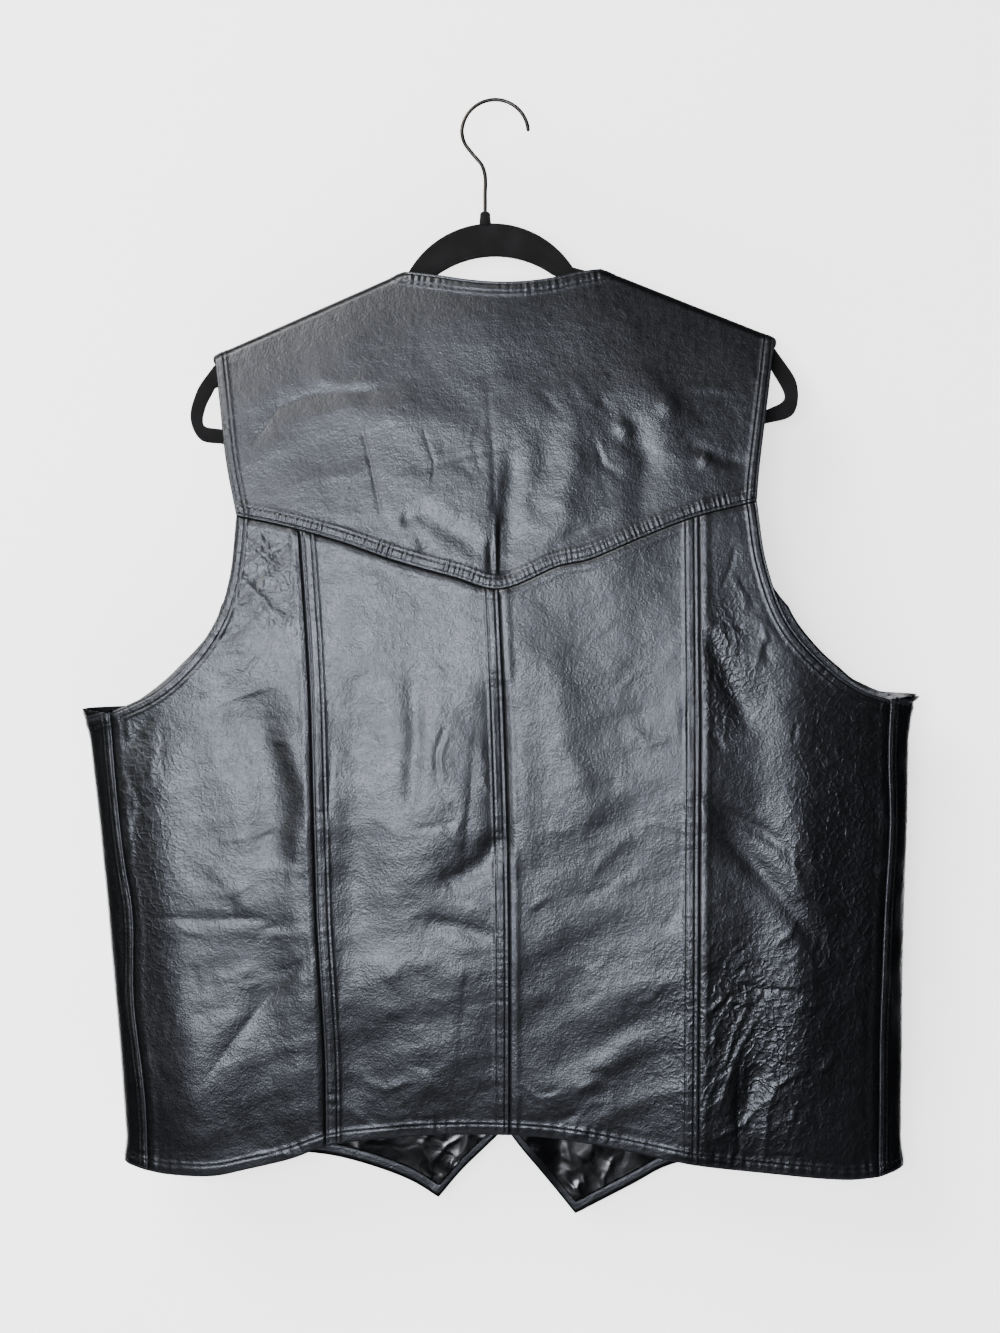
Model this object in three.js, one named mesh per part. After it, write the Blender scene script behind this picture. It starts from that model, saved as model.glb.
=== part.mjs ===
// A leather vest of western cut, snapped shut, hanging on a slim flocked hanger.
// Millimetres, +Z up. The origin is the underside of the hook's crown.
// The vest's back faces -Y, its front faces +Y, and the wearer's right side is at +X.
import * as THREE from "three";
import { mergeVertices } from "three/addons/utils/BufferGeometryUtils.js";

// Walls and gaps
const LEATHER_WALL = 2;
const LINING_WALL = 1;
const SEAM_GAP = 0.3;
const HALF_GAP = SEAM_GAP / 2;
const SHOULDER_HALF_GAP = 0.3; // wider outside, because the walls close towards each other inside the turn

// How deep the hollow vest stands, measured each way from the hanger's plane
const RIDGE_RADIUS = 6.6; // the turn of the cloth over the hanger's arms
const PEAK_ROUND = 10; // rounds the form where the two shoulder slopes would meet
const BACK_DEPTH = 26;
const FRONT_DEPTH = 28;
const DEPTH_FADE = 125; // height below the shoulders in which the depth grows
const RING_POWER = 6; // a high power gives flat faces with round sides

// Front closure
const CENTRE_FRONT = 7.6;
const LAP = 10; // how far each front runs past the centre
const LINING_GAP = 0.7; // the lining hangs a little clear of the leather
const LAP_DROP = LEATHER_WALL + LINING_GAP + LINING_WALL + 2 * SEAM_GAP; // the right front lies this far under
const LAP_FADE = { from: 50, to: 24, top: -320, foot: -385 }; // where it goes down to there, in x and z
const HEM_TURN = 9; // leather turned up inside the front hems, below the lining
const FRONT_TURN = 8; // the same along the front edges
const SNAP = { first: -462, last: -706, count: 4, seat: 0.1, segments: 14 };
const SNAP_OUTLINE = [
  { radius: 0, height: 0 }, { radius: 7.1, height: 0 }, { radius: 7.5, height: 0.5 }, { radius: 7, height: 1.3 },
  { radius: 5.25, height: 2.05 }, { radius: 2.7, height: 2.32 }, { radius: 0, height: 2.4 },
];

// Hanger
const PLATE = 5;
const PLATE_BEVEL = 1.8;
const PLATE_ARMS = { left: [-168, -72], right: [100, 168] }; // where the arms touch the cloth, in x
const CLOTH_SEAT = LEATHER_WALL + 0.9;
const BOW = { x: -2.2, z: -159.9, radius: 70.5, from: -64, to: 57 };
const BOW_INNER = { x: 0, z: -187, radius: 73, from: 42, to: -42 };
const COLLAR = { x: -7.3, top: -81, radius: 4.3, bore: 1.8, chamfer: 1, segments: 24 };
const WIRE_RADIUS = 1.4;
const HOOK_RADIUS = 24.4; // to the middle of the wire
const HOOK_ARC = { from: 2, to: 178, step: 16 }; // degrees, from the open end over the crown
const HOOK_NECK = [
  { x: -22.6, z: -30 }, { x: -16.5, z: -38.5 }, { x: -9.6, z: -47 }, { x: -7.3, z: -55 }, { x: -7.3, z: -68 },
];
const HOOK_SEAT = 0.5; // how far the wire ends above the collar's foot

// Shoulder ridges: where the cloth turns over the hanger, from neck point to tip
const SHOULDERS = {
  left: { neckX: -67.6, neckZ: -125, tipX: -205.7, tipZ: -186 },
  right: { neckX: 78.5, neckZ: -122.9, tipX: 205, tipZ: -173 },
};

// Sides of the vest seen square on. Above the underarms the ring is only a guide for the open armholes.
const SIDES = [
  { z: -100, left: -350, right: 356 },
  { z: -370, left: -350, right: 356 },
  { z: -415, left: -325, right: 330 },
  { z: -441, left: -304, right: 307.5 },
  { z: -468, left: -297.5, right: 304 },
  { z: -526, left: -290.8, right: 303.2 },
  { z: -585, left: -285, right: 301.2 },
  { z: -643, left: -280, right: 299.8 },
  { z: -701, left: -274.8, right: 299.4 },
  { z: -759, left: -270.8, right: 298.6 },
  { z: -776, left: -271.9, right: 300 },
  { z: -815, left: -273, right: 301 },
];

// Side seams and princess seams on the back, from top to hem
const SEAMS = {
  sideLeft: [
    { x: -280.6, z: -448.6 }, { x: -277.7, z: -487 }, { x: -270.4, z: -554.7 }, { x: -263.9, z: -596 },
    { x: -263.2, z: -657 }, { x: -254.5, z: -730 }, { x: -253, z: -782.5 },
  ],
  sideRight: [
    { x: 288.6, z: -439.1 }, { x: 287, z: -482.7 }, { x: 287.9, z: -530 }, { x: 284, z: -600 },
    { x: 281, z: -680 }, { x: 280.6, z: -787.4 },
  ],
  princessLeft: [
    { x: -142.1, z: -316 }, { x: -134.9, z: -421.7 }, { x: -130.9, z: -548 }, { x: -129.4, z: -598 },
    { x: -123.6, z: -699 }, { x: -122.9, z: -763.4 },
  ],
  princessRight: [
    { x: 148, z: -305 }, { x: 148.7, z: -462 }, { x: 148, z: -583 }, { x: 147, z: -777.2 },
  ],
  centreBack: [
    { x: 2.6, z: -358.6 }, { x: 6.9, z: -462 }, { x: 10, z: -583 }, { x: 10.2, z: -755.4 },
  ],
};

// Armhole edges from shoulder tip to underarm, back and front
const ARMHOLES = {
  backLeft: [
    { x: -205.7, z: -186 }, { x: -201.4, z: -221 }, { x: -196.3, z: -264.6 }, { x: -188.3, z: -305.3 },
    { x: -193.4, z: -351.9 }, { x: -202.8, z: -381 }, { x: -222.5, z: -410 }, { x: -247.9, z: -432.6 },
    { x: -280.6, z: -448.6 },
  ],
  backRight: [
    { x: 205, z: -173 }, { x: 202.1, z: -196.3 }, { x: 192.7, z: -270.4 }, { x: 190.5, z: -294.4 },
    { x: 197.7, z: -341 }, { x: 214.5, z: -384.6 }, { x: 246.5, z: -418.8 }, { x: 271.2, z: -434 },
    { x: 288.6, z: -439.1 },
  ],
  frontLeft: [
    { x: -205.7, z: -186 }, { x: -190, z: -215 }, { x: -178, z: -250 }, { x: -174, z: -290 },
    { x: -184, z: -330 }, { x: -205, z: -375 }, { x: -232, z: -412 }, { x: -262, z: -438 },
    { x: -285, z: -449 },
  ],
  frontRight: [
    { x: 205, z: -173 }, { x: 193, z: -202 }, { x: 183, z: -237 }, { x: 180, z: -277 },
    { x: 190, z: -317 }, { x: 211, z: -362 }, { x: 238, z: -399 }, { x: 268, z: -426 },
    { x: 293, z: -438 },
  ],
};

// Lowest point of each armhole, on the fold of the side
const UNDERARM = { left: -453.6, right: -441.6 };

// Back neck, yoke seam and back hem, from left to right
const BACK_NECK = [
  { x: -67.6, z: -125 }, { x: -42.2, z: -128.3 }, { x: -20.4, z: -131.6 }, { x: 2.2, z: -133.4 },
  { x: 23.3, z: -132.7 }, { x: 42.2, z: -130.1 }, { x: 61.8, z: -125.8 }, { x: 78.5, z: -122.9 },
];
const YOKE_SEAM = [
  { x: -188.3, z: -305.3 }, { x: -157, z: -311.9 }, { x: -112, z: -324.2 }, { x: -74.9, z: -337.3 },
  { x: -30, z: -350 }, { x: 2.6, z: -358.6 }, { x: 47.3, z: -341.5 }, { x: 68.3, z: -337 },
  { x: 100.3, z: -323.5 }, { x: 143.9, z: -306.5 }, { x: 190.5, z: -294.4 },
];
const BACK_HEM = [
  { x: -253, z: -782.5 }, { x: -239.9, z: -784.4 }, { x: -205, z: -785.2 }, { x: -182.5, z: -780.8 },
  { x: -149, z: -772.8 }, { x: -122.9, z: -763.4 }, { x: -83.6, z: -758.3 }, { x: -44.3, z: -755.4 },
  { x: 10.2, z: -755.4 }, { x: 53, z: -759 }, { x: 91.6, z: -765.9 }, { x: 147, z: -777.2 },
  { x: 204.3, z: -784.1 }, { x: 258.8, z: -788.8 }, { x: 280.6, z: -787.4 },
];

// Front hems from the fold of the side to the point, and from the point up the cutaway
const FRONT_HEMS = {
  left: [
    { x: -262, z: -775 }, { x: -200, z: -774 }, { x: -136, z: -776.5 }, { x: -107.6, z: -781.5 },
    { x: -64, z: -796.6 }, { x: -42, z: -809.8 },
  ],
  right: [
    { x: 290, z: -776 }, { x: 230, z: -773.5 }, { x: 180, z: -774.2 }, { x: 130.9, z: -780.4 },
    { x: 101.8, z: -795.2 }, { x: 59.6, z: -816.8 },
  ],
};
const CUTAWAYS = {
  left: [{ x: -42, z: -809.8 }, { x: -24.7, z: -789.3 }, { x: 0, z: -765.3 }, { x: 17.6, z: -748 }],
  right: [{ x: 59.6, z: -816.8 }, { x: 33.4, z: -784.4 }, { x: 13.8, z: -760.4 }, { x: -2.4, z: -735 }],
};
const FRONT_NECKS = {
  left: [
    { x: -67.6, z: -125 }, { x: -59, z: -200 }, { x: -38, z: -300 }, { x: -10, z: -380 },
    { x: 17.6, z: -436 }, { x: 17.6, z: -520 }, { x: 17.6, z: -748 },
  ],
  right: [
    { x: 78.5, z: -122.9 }, { x: 71, z: -200 }, { x: 52, z: -300 }, { x: 25, z: -380 },
    { x: -2.4, z: -436 }, { x: -2.4, z: -520 }, { x: -2.4, z: -735 },
  ],
};

// Largest folds: a soft ridge (raise above 0) or trough (below 0) between two places, and its half-width
const BACK_FOLDS = [
  { x0: -290, z0: -802, x1: 290, z1: -802, raise: -6.5, width: 88 },
  { x0: -176, z0: -262, x1: -30, z1: -236, raise: 1.5, width: 16 },
  { x0: -60, z0: -192, x1: 100, z1: -184, raise: -1.2, width: 22 },
  { x0: 100, z0: -200, x1: 132, z1: -250, raise: 2.2, width: 20 },
  { x0: 106, z0: -230, x1: 104, z1: -305, raise: -1.5, width: 11 },
  { x0: 40, z0: -238, x1: 15, z1: -335, raise: -1.4, width: 13 },
  { x0: 14, z0: -262, x1: 7.5, z1: -350, raise: -2, width: 9 },
  { x0: -180, z0: -436, x1: -158, z1: -560, raise: -3, width: 19 },
  { x0: -152, z0: -465, x1: -142, z1: -556, raise: 1.2, width: 9 },
  { x0: -246, z0: -480, x1: -216, z1: -765, raise: 1.9, width: 18 },
  { x0: -160, z0: -610, x1: -165, z1: -768, raise: -2, width: 24 },
  { x0: -238, z0: -740, x1: -214, z1: -745, raise: 4, width: 70 },
  { x0: -140, z0: -440, x1: -140, z1: -775, raise: 2, width: 20 },
  { x0: -100, z0: -440, x1: -102, z1: -775, raise: -1.7, width: 20 },
  { x0: -120, z0: -512, x1: -20, z1: -520, raise: 2.6, width: 50 },
  { x0: -112, z0: -655, x1: -24, z1: -662, raise: 1.6, width: 36 },
  { x0: 3, z0: -425, x1: 6, z1: -548, raise: -2.1, width: 10 },
  { x0: 38, z0: -400, x1: 70, z1: -540, raise: 1.1, width: 14 },
  { x0: 96, z0: -768, x1: 124, z1: -764, raise: 3, width: 48 },
  { x0: 148, z0: -340, x1: 147, z1: -775, raise: 2.1, width: 25 },
  { x0: 150, z0: -640, x1: 150, z1: -775, raise: 1.4, width: 45 },
  { x0: 217, z0: -400, x1: 220, z1: -770, raise: 3.6, width: 24 },
  { x0: 164, z0: -534, x1: 233, z1: -616, raise: -1.8, width: 8 },
  { x0: 152, z0: -388, x1: 182, z1: -456, raise: -1.6, width: 8 },
  { x0: 180, z0: -748, x1: 190, z1: -705, raise: -2.2, width: 8 },
];
const FRONT_FOLDS = [
  { x0: -170, z0: -250, x1: -84, z1: -330, raise: -2.2, width: 14 },
  { x0: 168, z0: -240, x1: 98, z1: -330, raise: -2, width: 14 },
  { x0: -210, z0: -480, x1: -120, z1: -560, raise: -3, width: 18 },
  { x0: 220, z0: -470, x1: 130, z1: -590, raise: -2.6, width: 16 },
  { x0: -150, z0: -640, x1: -70, z1: -740, raise: 2.4, width: 22 },
  { x0: 170, z0: -650, x1: 90, z1: -760, raise: 2.6, width: 22 },
];

const COLOURS = {
  leather: { color: 0x24262b, roughness: 0.45, metalness: 0 },
  satin: { color: 0x141418, roughness: 0.35, metalness: 0 },
  flock: { color: 0x101012, roughness: 0.95, metalness: 0 },
  steel: { color: 0x3a3634, roughness: 0.35, metalness: 0.9 },
  snap: { color: 0x26262a, roughness: 0.3, metalness: 0.8 },
};

// Curves

const HALVINGS = 44; // of a span, when a place is searched for in it

// The value of one column of a table at a height, between the rows above and below it.
function columnAt(rows, z, column) {
  const last = rows.length - 1;
  let row = 0;
  while (row < last - 1 && z < rows[row + 1].z) {
    row += 1;
  }
  const above = rows[row];
  const below = rows[row + 1];
  const share = THREE.MathUtils.clamp((above.z - z) / (above.z - below.z), 0, 1);
  return THREE.MathUtils.lerp(above[column], below[column], share);
}

// A smooth plane curve through the points of a table, as a function of the share of its length.
function curveThrough(points) {
  const places = points.map((p) => new THREE.Vector3(p.x, 0, p.z));
  const curve = new THREE.CatmullRomCurve3(places, false, "centripetal");
  curve.arcLengthDivisions = 400;
  return (share) => {
    const at = curve.getPointAt(THREE.MathUtils.clamp(share, 0, 1));
    return { x: at.x, z: at.z };
  };
}

// One curve after another, each with its share of the whole.
function chained(stretches) {
  return (share) => {
    let start = 0;
    for (const { curve, until } of stretches) {
      if (share <= until) {
        return curve((share - start) / (until - start));
      }
      start = until;
    }
    return stretches[stretches.length - 1].curve(1);
  };
}

function moved(curve, dx, dz) {
  return (share) => {
    const at = curve(share);
    return { x: at.x + dx, z: at.z + dz };
  };
}

// The part of a curve between two shares, run either way.
function stretch(curve, from, to) {
  return (share) => curve(from + (to - from) * share);
}

// The same curve with its points closer together near both ends.
function crowdedAtEnds(curve) {
  const crowding = 0.8; // at 1 the points would meet there
  return (share) => curve(share - crowding * Math.sin(2 * Math.PI * share) / (2 * Math.PI));
}

// A curve whose two ends are moved to given places, with the change fading along it.
function endingAt(curve, first, last) {
  const startAt = curve(0);
  const endAt = curve(1);
  return (share) => {
    const at = curve(share);
    return {
      x: at.x + (1 - share) * (first.x - startAt.x) + share * (last.x - endAt.x),
      z: at.z + (1 - share) * (first.z - startAt.z) + share * (last.z - endAt.z),
    };
  };
}

// The share of a left-to-right curve at which it reaches x.
function shareAtX(curve, x) {
  let low = 0;
  let high = 1;
  for (let step = 0; step < HALVINGS; step += 1) {
    const middle = (low + high) / 2;
    if (curve(middle).x < x) {
      low = middle;
    } else {
      high = middle;
    }
  }
  return (low + high) / 2;
}

// Shares from 0 to 1 whose steps follow the weights.
function steps(count, weight = () => 1) {
  const shares = [0];
  for (let i = 0; i < count; i += 1) {
    shares.push(shares[i] + weight((i + 0.5) / count));
  }
  return shares.map((share) => share / shares[count]);
}

// Steps that grow short towards their end, for the tight turn over a shoulder.
function closeAtEnd(share) {
  return 1.005 - share;
}

function joinedSteps(first, until, second) {
  const later = second.slice(1).map((share) => until + share * (1 - until));
  return [...first.map((share) => share * until), ...later];
}

// The hollow form of the vest

// The line of the shoulders, which is two slopes with a rounded peak inside the neck.
function shoulderHeight(x) {
  const [left, right] = [SHOULDERS.left, SHOULDERS.right].map(({ neckX, neckZ, tipX, tipZ }) =>
    neckZ + (x - neckX) * (neckZ - tipZ) / (neckX - tipX));
  return -PEAK_ROUND * Math.log(Math.exp(-left / PEAK_ROUND) + Math.exp(-right / PEAK_ROUND));
}

function ringAt(z) {
  const left = columnAt(SIDES, z, "left");
  const right = columnAt(SIDES, z, "right");
  return { middle: (left + right) / 2, reach: (right - left) / 2 };
}

// The square of the form's half-depth, which is smooth over the shoulders and round the sides.
function depthSquared(x, z, face) {
  const full = face < 0 ? BACK_DEPTH : FRONT_DEPTH;
  const below = shoulderHeight(x) - z;
  const spread = RIDGE_RADIUS + (full - RIDGE_RADIUS) * (1 - Math.exp(-Math.max(below, 0) / DEPTH_FADE));
  const turn = Math.max(0, 1 - below / RIDGE_RADIUS);
  const { middle, reach } = ringAt(z);
  const side = Math.abs((x - middle) / reach) ** RING_POWER;
  return spread * spread * (1 - turn * turn) * (1 - side);
}

function foldHeight(x, z, face) {
  const folds = face < 0 ? BACK_FOLDS : FRONT_FOLDS;
  let height = 0;
  for (const fold of folds) {
    const dx = fold.x1 - fold.x0;
    const dz = fold.z1 - fold.z0;
    const along = THREE.MathUtils.clamp(
      ((x - fold.x0) * dx + (z - fold.z0) * dz) / (dx * dx + dz * dz), 0, 1,
    );
    const away = Math.hypot(x - fold.x0 - along * dx, z - fold.z0 - along * dz) / fold.width;
    height += fold.raise * Math.exp(-away * away);
  }
  return height;
}

// A point of the form, moved out along its normal by an offset.
function onForm(x, z, face, offset) {
  const y = face * Math.sqrt(Math.max(0, depthSquared(x, z, face)));
  const step = 0.01;
  const slopeX = (depthSquared(x + step, z, face) - depthSquared(x - step, z, face)) / (2 * step);
  const slopeZ = (depthSquared(x, z + step, face) - depthSquared(x, z - step, face)) / (2 * step);
  const normal = new THREE.Vector3(-slopeX, 2 * y, -slopeZ).normalize();
  const lift = offset + foldHeight(x, z, face) * Math.min(1, Math.abs(y) / BACK_DEPTH);
  return new THREE.Vector3(x, y, z).addScaledVector(normal, lift);
}

// Distance round a side from its fold: below 0 on the back, above 0 on the front.
function roundFromX(side, x, z, face) {
  const { middle, reach } = ringAt(z);
  const depth = Math.sqrt(Math.max(0, depthSquared(x, z, face)));
  return face * (reach - side * (x - middle) + depth);
}

function xFromRound(side, round, z) {
  const { middle, reach } = ringAt(z);
  const face = round < 0 ? -1 : 1;
  const placeAt = (angle) => middle + side * reach * (angle >= Math.PI / 2
    ? -(angle - Math.PI / 2)
    : Math.cos(angle) ** (2 / RING_POWER));
  let low = 0;
  let high = Math.PI / 2 + 0.2;
  for (let step = 0; step < HALVINGS; step += 1) {
    const angle = (low + high) / 2;
    if (Math.abs(roundFromX(side, placeAt(angle), z, face)) < Math.abs(round)) {
      low = angle;
    } else {
      high = angle;
    }
  }
  return placeAt((low + high) / 2);
}

// Solids

// A point of a patch that fills four edges; left and right run from bottom to top.
function insideEdges({ bottom, top, left, right }, across, up) {
  const sides = ["x", "z"].map((axis) => {
    const between = (1 - up) * bottom(across)[axis] + up * top(across)[axis]
      + (1 - across) * left(up)[axis] + across * right(up)[axis];
    const corners = (1 - across) * (1 - up) * bottom(0)[axis] + across * (1 - up) * bottom(1)[axis]
      + (1 - across) * up * top(0)[axis] + across * up * top(1)[axis];
    return between - corners;
  });
  return { x: sides[0], z: sides[1] };
}

function signedVolume(geometry) {
  const position = geometry.getAttribute("position");
  const corner = [0, 1, 2].map(() => new THREE.Vector3());
  let volume = 0;
  for (let i = 0; i < geometry.index.count; i += 3) {
    corner.forEach((point, k) => point.fromBufferAttribute(position, geometry.index.getX(i + k)));
    volume += corner[0].dot(corner[1].clone().cross(corner[2])) / 6;
  }
  return volume;
}

// A closed wall from a grid of outer points and a like grid of inner points.
function wallBetween(outer, inner) {
  const rows = outer.length;
  const columns = outer[0].length;
  const points = [...outer.flat(), ...inner.flat()];
  const index = [];
  const at = (layer, row, column) => layer * rows * columns + row * columns + column;
  const quad = (a, b, c, d) => index.push(a, b, c, a, c, d);
  for (let row = 0; row < rows - 1; row += 1) {
    for (let column = 0; column < columns - 1; column += 1) {
      quad(at(0, row, column), at(0, row, column + 1), at(0, row + 1, column + 1), at(0, row + 1, column));
      quad(at(1, row, column), at(1, row + 1, column), at(1, row + 1, column + 1), at(1, row, column + 1));
    }
  }
  const rim = [];
  for (let column = 0; column < columns - 1; column += 1) {
    rim.push([0, column]);
  }
  for (let row = 0; row < rows - 1; row += 1) {
    rim.push([row, columns - 1]);
  }
  for (let column = columns - 1; column > 0; column -= 1) {
    rim.push([rows - 1, column]);
  }
  for (let row = rows - 1; row > 0; row -= 1) {
    rim.push([row, 0]);
  }
  rim.forEach(([row, column], i) => {
    const [nextRow, nextColumn] = rim[(i + 1) % rim.length];
    quad(at(0, nextRow, nextColumn), at(0, row, column), at(1, row, column), at(1, nextRow, nextColumn));
  });
  const geometry = new THREE.BufferGeometry().setFromPoints(points);
  geometry.setIndex(index);
  if (signedVolume(geometry) < 0) {
    for (let i = 0; i < index.length; i += 3) {
      [index[i + 1], index[i + 2]] = [index[i + 2], index[i + 1]];
    }
    geometry.setIndex(index);
  }
  geometry.computeVertexNormals();
  return geometry;
}

function gridOf(ups, acrosses, pointAt) {
  return ups.map((up) => acrosses.map((across) => pointAt(across, up)));
}

const vest = new THREE.Group();

function addPiece(name, geometry, finish) {
  const mesh = new THREE.Mesh(geometry, new THREE.MeshStandardMaterial(finish));
  mesh.name = name;
  vest.add(mesh);
}

// Rows and columns of the panels, which neighbours share along their seams
const SEAM_STEPS = 14;
const PANEL_COLUMNS = 8;
const PANEL_UNDERARM = 0.62; // share of a side panel's outer edge that is side seam, from the hem up
const PANEL_UPS = joinedSteps(steps(SEAM_STEPS), PANEL_UNDERARM, steps(8));
const PANEL_ACROSSES = steps(PANEL_COLUMNS);
const NECK_COLUMNS = { from: 1.5 * PANEL_COLUMNS, to: 2.5 * PANEL_COLUMNS }; // of the yoke, which has four panels' worth
const ARM_AT_YOKE = 3; // the row of the back armholes' tables where the yoke seam meets them

// A back piece, whose edges are given as seen square on.
function backPiece(name, edges, acrosses = PANEL_ACROSSES, ups = PANEL_UPS) {
  const layer = (offset) => gridOf(ups, acrosses, (across, up) => {
    const at = insideEdges(edges, across, up);
    return onForm(at.x, at.z, -1, offset);
  });
  addPiece(name, wallBetween(layer(0), layer(-LEATHER_WALL)), COLOURS.leather);
}

// Back

const yokeSeam = curveThrough(YOKE_SEAM);
const backHem = curveThrough(BACK_HEM);
const seams = Object.fromEntries(
  Object.entries(SEAMS).map(([name, points]) => [name, curveThrough(points)]),
);

function shoulderLine(shoulder) {
  const drop = RIDGE_RADIUS * (1 - Math.sqrt(1 - (SHOULDER_HALF_GAP / RIDGE_RADIUS) ** 2));
  return (share) => {
    const x = THREE.MathUtils.lerp(shoulder.tipX, shoulder.neckX, share);
    return { x, z: shoulderHeight(x) - drop };
  };
}

// Places along the yoke seam that the yoke shares with the panels below it.
function yokeColumns() {
  const breaks = [
    0,
    shareAtX(yokeSeam, SEAMS.princessLeft[0].x),
    shareAtX(yokeSeam, SEAMS.centreBack[0].x),
    shareAtX(yokeSeam, SEAMS.princessRight[0].x),
    1,
  ];
  const shares = [0];
  for (let panel = 0; panel < breaks.length - 1; panel += 1) {
    for (const step of PANEL_ACROSSES.slice(1)) {
      shares.push(THREE.MathUtils.lerp(breaks[panel], breaks[panel + 1], step));
    }
  }
  return shares;
}

function yoke() {
  const acrosses = yokeColumns();
  const neckFrom = acrosses[NECK_COLUMNS.from];
  const neckTo = acrosses[NECK_COLUMNS.to];
  const top = chained([
    { curve: shoulderLine(SHOULDERS.left), until: neckFrom },
    { curve: crowdedAtEnds(curveThrough(BACK_NECK)), until: neckTo },
    { curve: stretch(shoulderLine(SHOULDERS.right), 1, 0), until: 1 },
  ]);
  const bottom = moved(yokeSeam, 0, HALF_GAP);
  const armhole = (points) => stretch(curveThrough(points.slice(0, ARM_AT_YOKE + 1)), 1, 0);
  const edges = {
    bottom,
    top,
    left: endingAt(armhole(ARMHOLES.backLeft), bottom(0), top(0)),
    right: endingAt(armhole(ARMHOLES.backRight), bottom(1), top(1)),
  };
  backPiece("yoke", edges, acrosses, steps(14, closeAtEnd));
}

// The edges of a panel between two upright edges, under the yoke seam and above the hem.
function panelEdges(left, right) {
  const top = moved(yokeSeam, 0, -HALF_GAP);
  const topEdge = stretch(top, shareAtX(top, left(1).x), shareAtX(top, right(1).x));
  const bottomEdge = stretch(backHem, shareAtX(backHem, left(0).x), shareAtX(backHem, right(0).x));
  return {
    bottom: bottomEdge,
    top: topEdge,
    left: endingAt(left, bottomEdge(0), topEdge(0)),
    right: endingAt(right, bottomEdge(1), topEdge(1)),
  };
}

function centrePanels() {
  const centre = stretch(seams.centreBack, 1, 0);
  const leftEdge = moved(stretch(seams.princessLeft, 1, 0), HALF_GAP, 0);
  const rightEdge = moved(stretch(seams.princessRight, 1, 0), -HALF_GAP, 0);
  backPiece("back_centre_left", panelEdges(leftEdge, moved(centre, -HALF_GAP, 0)));
  backPiece("back_centre_right", panelEdges(moved(centre, HALF_GAP, 0), rightEdge));
}

function sidePanels() {
  const outer = (seam, armhole) => chained([
    { curve: stretch(seam, 1, 0), until: PANEL_UNDERARM },
    { curve: stretch(armhole, 1, 0), until: 1 },
  ]);
  const armLeft = curveThrough(ARMHOLES.backLeft.slice(ARM_AT_YOKE));
  const armRight = curveThrough(ARMHOLES.backRight.slice(ARM_AT_YOKE));
  const leftEdge = moved(outer(seams.sideLeft, armLeft), HALF_GAP, 0);
  const rightEdge = moved(outer(seams.sideRight, armRight), -HALF_GAP, 0);
  const princessLeft = moved(stretch(seams.princessLeft, 1, 0), -HALF_GAP, 0);
  const princessRight = moved(stretch(seams.princessRight, 1, 0), HALF_GAP, 0);
  backPiece("back_side_left", panelEdges(leftEdge, princessLeft));
  backPiece("back_side_right", panelEdges(princessRight, rightEdge));
}

// Fronts, whose patches are laid out in distance round the side and height

// Shares of a front's outer edge at which the underarm starts and ends, and of its lower edge at its point
const FRONT_UNDERARM = { from: 0.5, to: 0.62 };
const FRONT_POINT = 0.76;
const FOLD_RISE = 1.5; // the hem at the fold of the side lies this far above its two neighbours' mean

function frontEdges(sideName, side) {
  const place = (at, face) => ({ x: roundFromX(side, at.x, at.z, face), z: at.z });
  const onFront = (curve) => (share) => place(curve(share), 1);
  const name = sideName === "left" ? "Left" : "Right";
  const seam = seams[`side${name}`];
  const seamTop = SEAMS[`side${name}`][0];
  const seamFoot = SEAMS[`side${name}`][SEAMS[`side${name}`].length - 1];
  const hem = FRONT_HEMS[sideName];
  const fold = { x: 0, z: UNDERARM[sideName] };
  const foldFoot = { x: 0, z: (seamFoot.z + hem[0].z) / 2 + FOLD_RISE };
  const gap = side * HALF_GAP;

  const seamRound = (share) => {
    const at = seam(1 - share);
    return place({ x: at.x + gap, z: at.z }, -1);
  };
  const seamStart = place({ x: seamTop.x + gap, z: seamTop.z }, -1);
  const arm = ARMHOLES[`front${name}`].map((at) => place(at, 1)).reverse();
  arm[arm.length - 1] = place(shoulderLine(SHOULDERS[sideName])(0), 1);
  const underarm = curveThrough([seamStart, fold, arm[0]]);
  const left = chained([
    { curve: seamRound, until: FRONT_UNDERARM.from },
    { curve: underarm, until: FRONT_UNDERARM.to },
    { curve: curveThrough(arm), until: 1 },
  ]);

  const hemStart = place({ x: seamFoot.x + gap, z: seamFoot.z }, -1);
  const hemRound = [hemStart, foldFoot, ...hem.map((at) => place(at, 1))];
  const bottom = chained([
    { curve: curveThrough(hemRound), until: FRONT_POINT },
    { curve: onFront(curveThrough(CUTAWAYS[sideName])), until: 1 },
  ]);

  const neck = curveThrough(FRONT_NECKS[sideName]);
  const shoulder = onFront(shoulderLine(SHOULDERS[sideName]));
  const neckEdge = onFront(stretch(neck, 1, 0));
  return {
    bottom,
    top: shoulder,
    left,
    right: endingAt(neckEdge, bottom(1), shoulder(1)),
  };
}

// Rows of a front, up the side seam, round the underarm and up the armhole, and its columns
const UNDERARM_SHARE = (FRONT_UNDERARM.to - FRONT_UNDERARM.from) / (1 - FRONT_UNDERARM.from);
const ABOVE_SEAM = joinedSteps(steps(3), UNDERARM_SHARE, steps(13, closeAtEnd));
const FRONT_UPS = joinedSteps(steps(SEAM_STEPS), FRONT_UNDERARM.from, ABOVE_SEAM);
const FRONT_ACROSSES = joinedSteps(steps(14, (share) => 0.45 + 1.1 * share), FRONT_POINT, steps(4));
const LINING_FIRST_COLUMN = 6; // just past the fold of the side
const LINING_TOP_ROW = FRONT_UPS.length - 6; // clear of the hanger's arms

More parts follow.
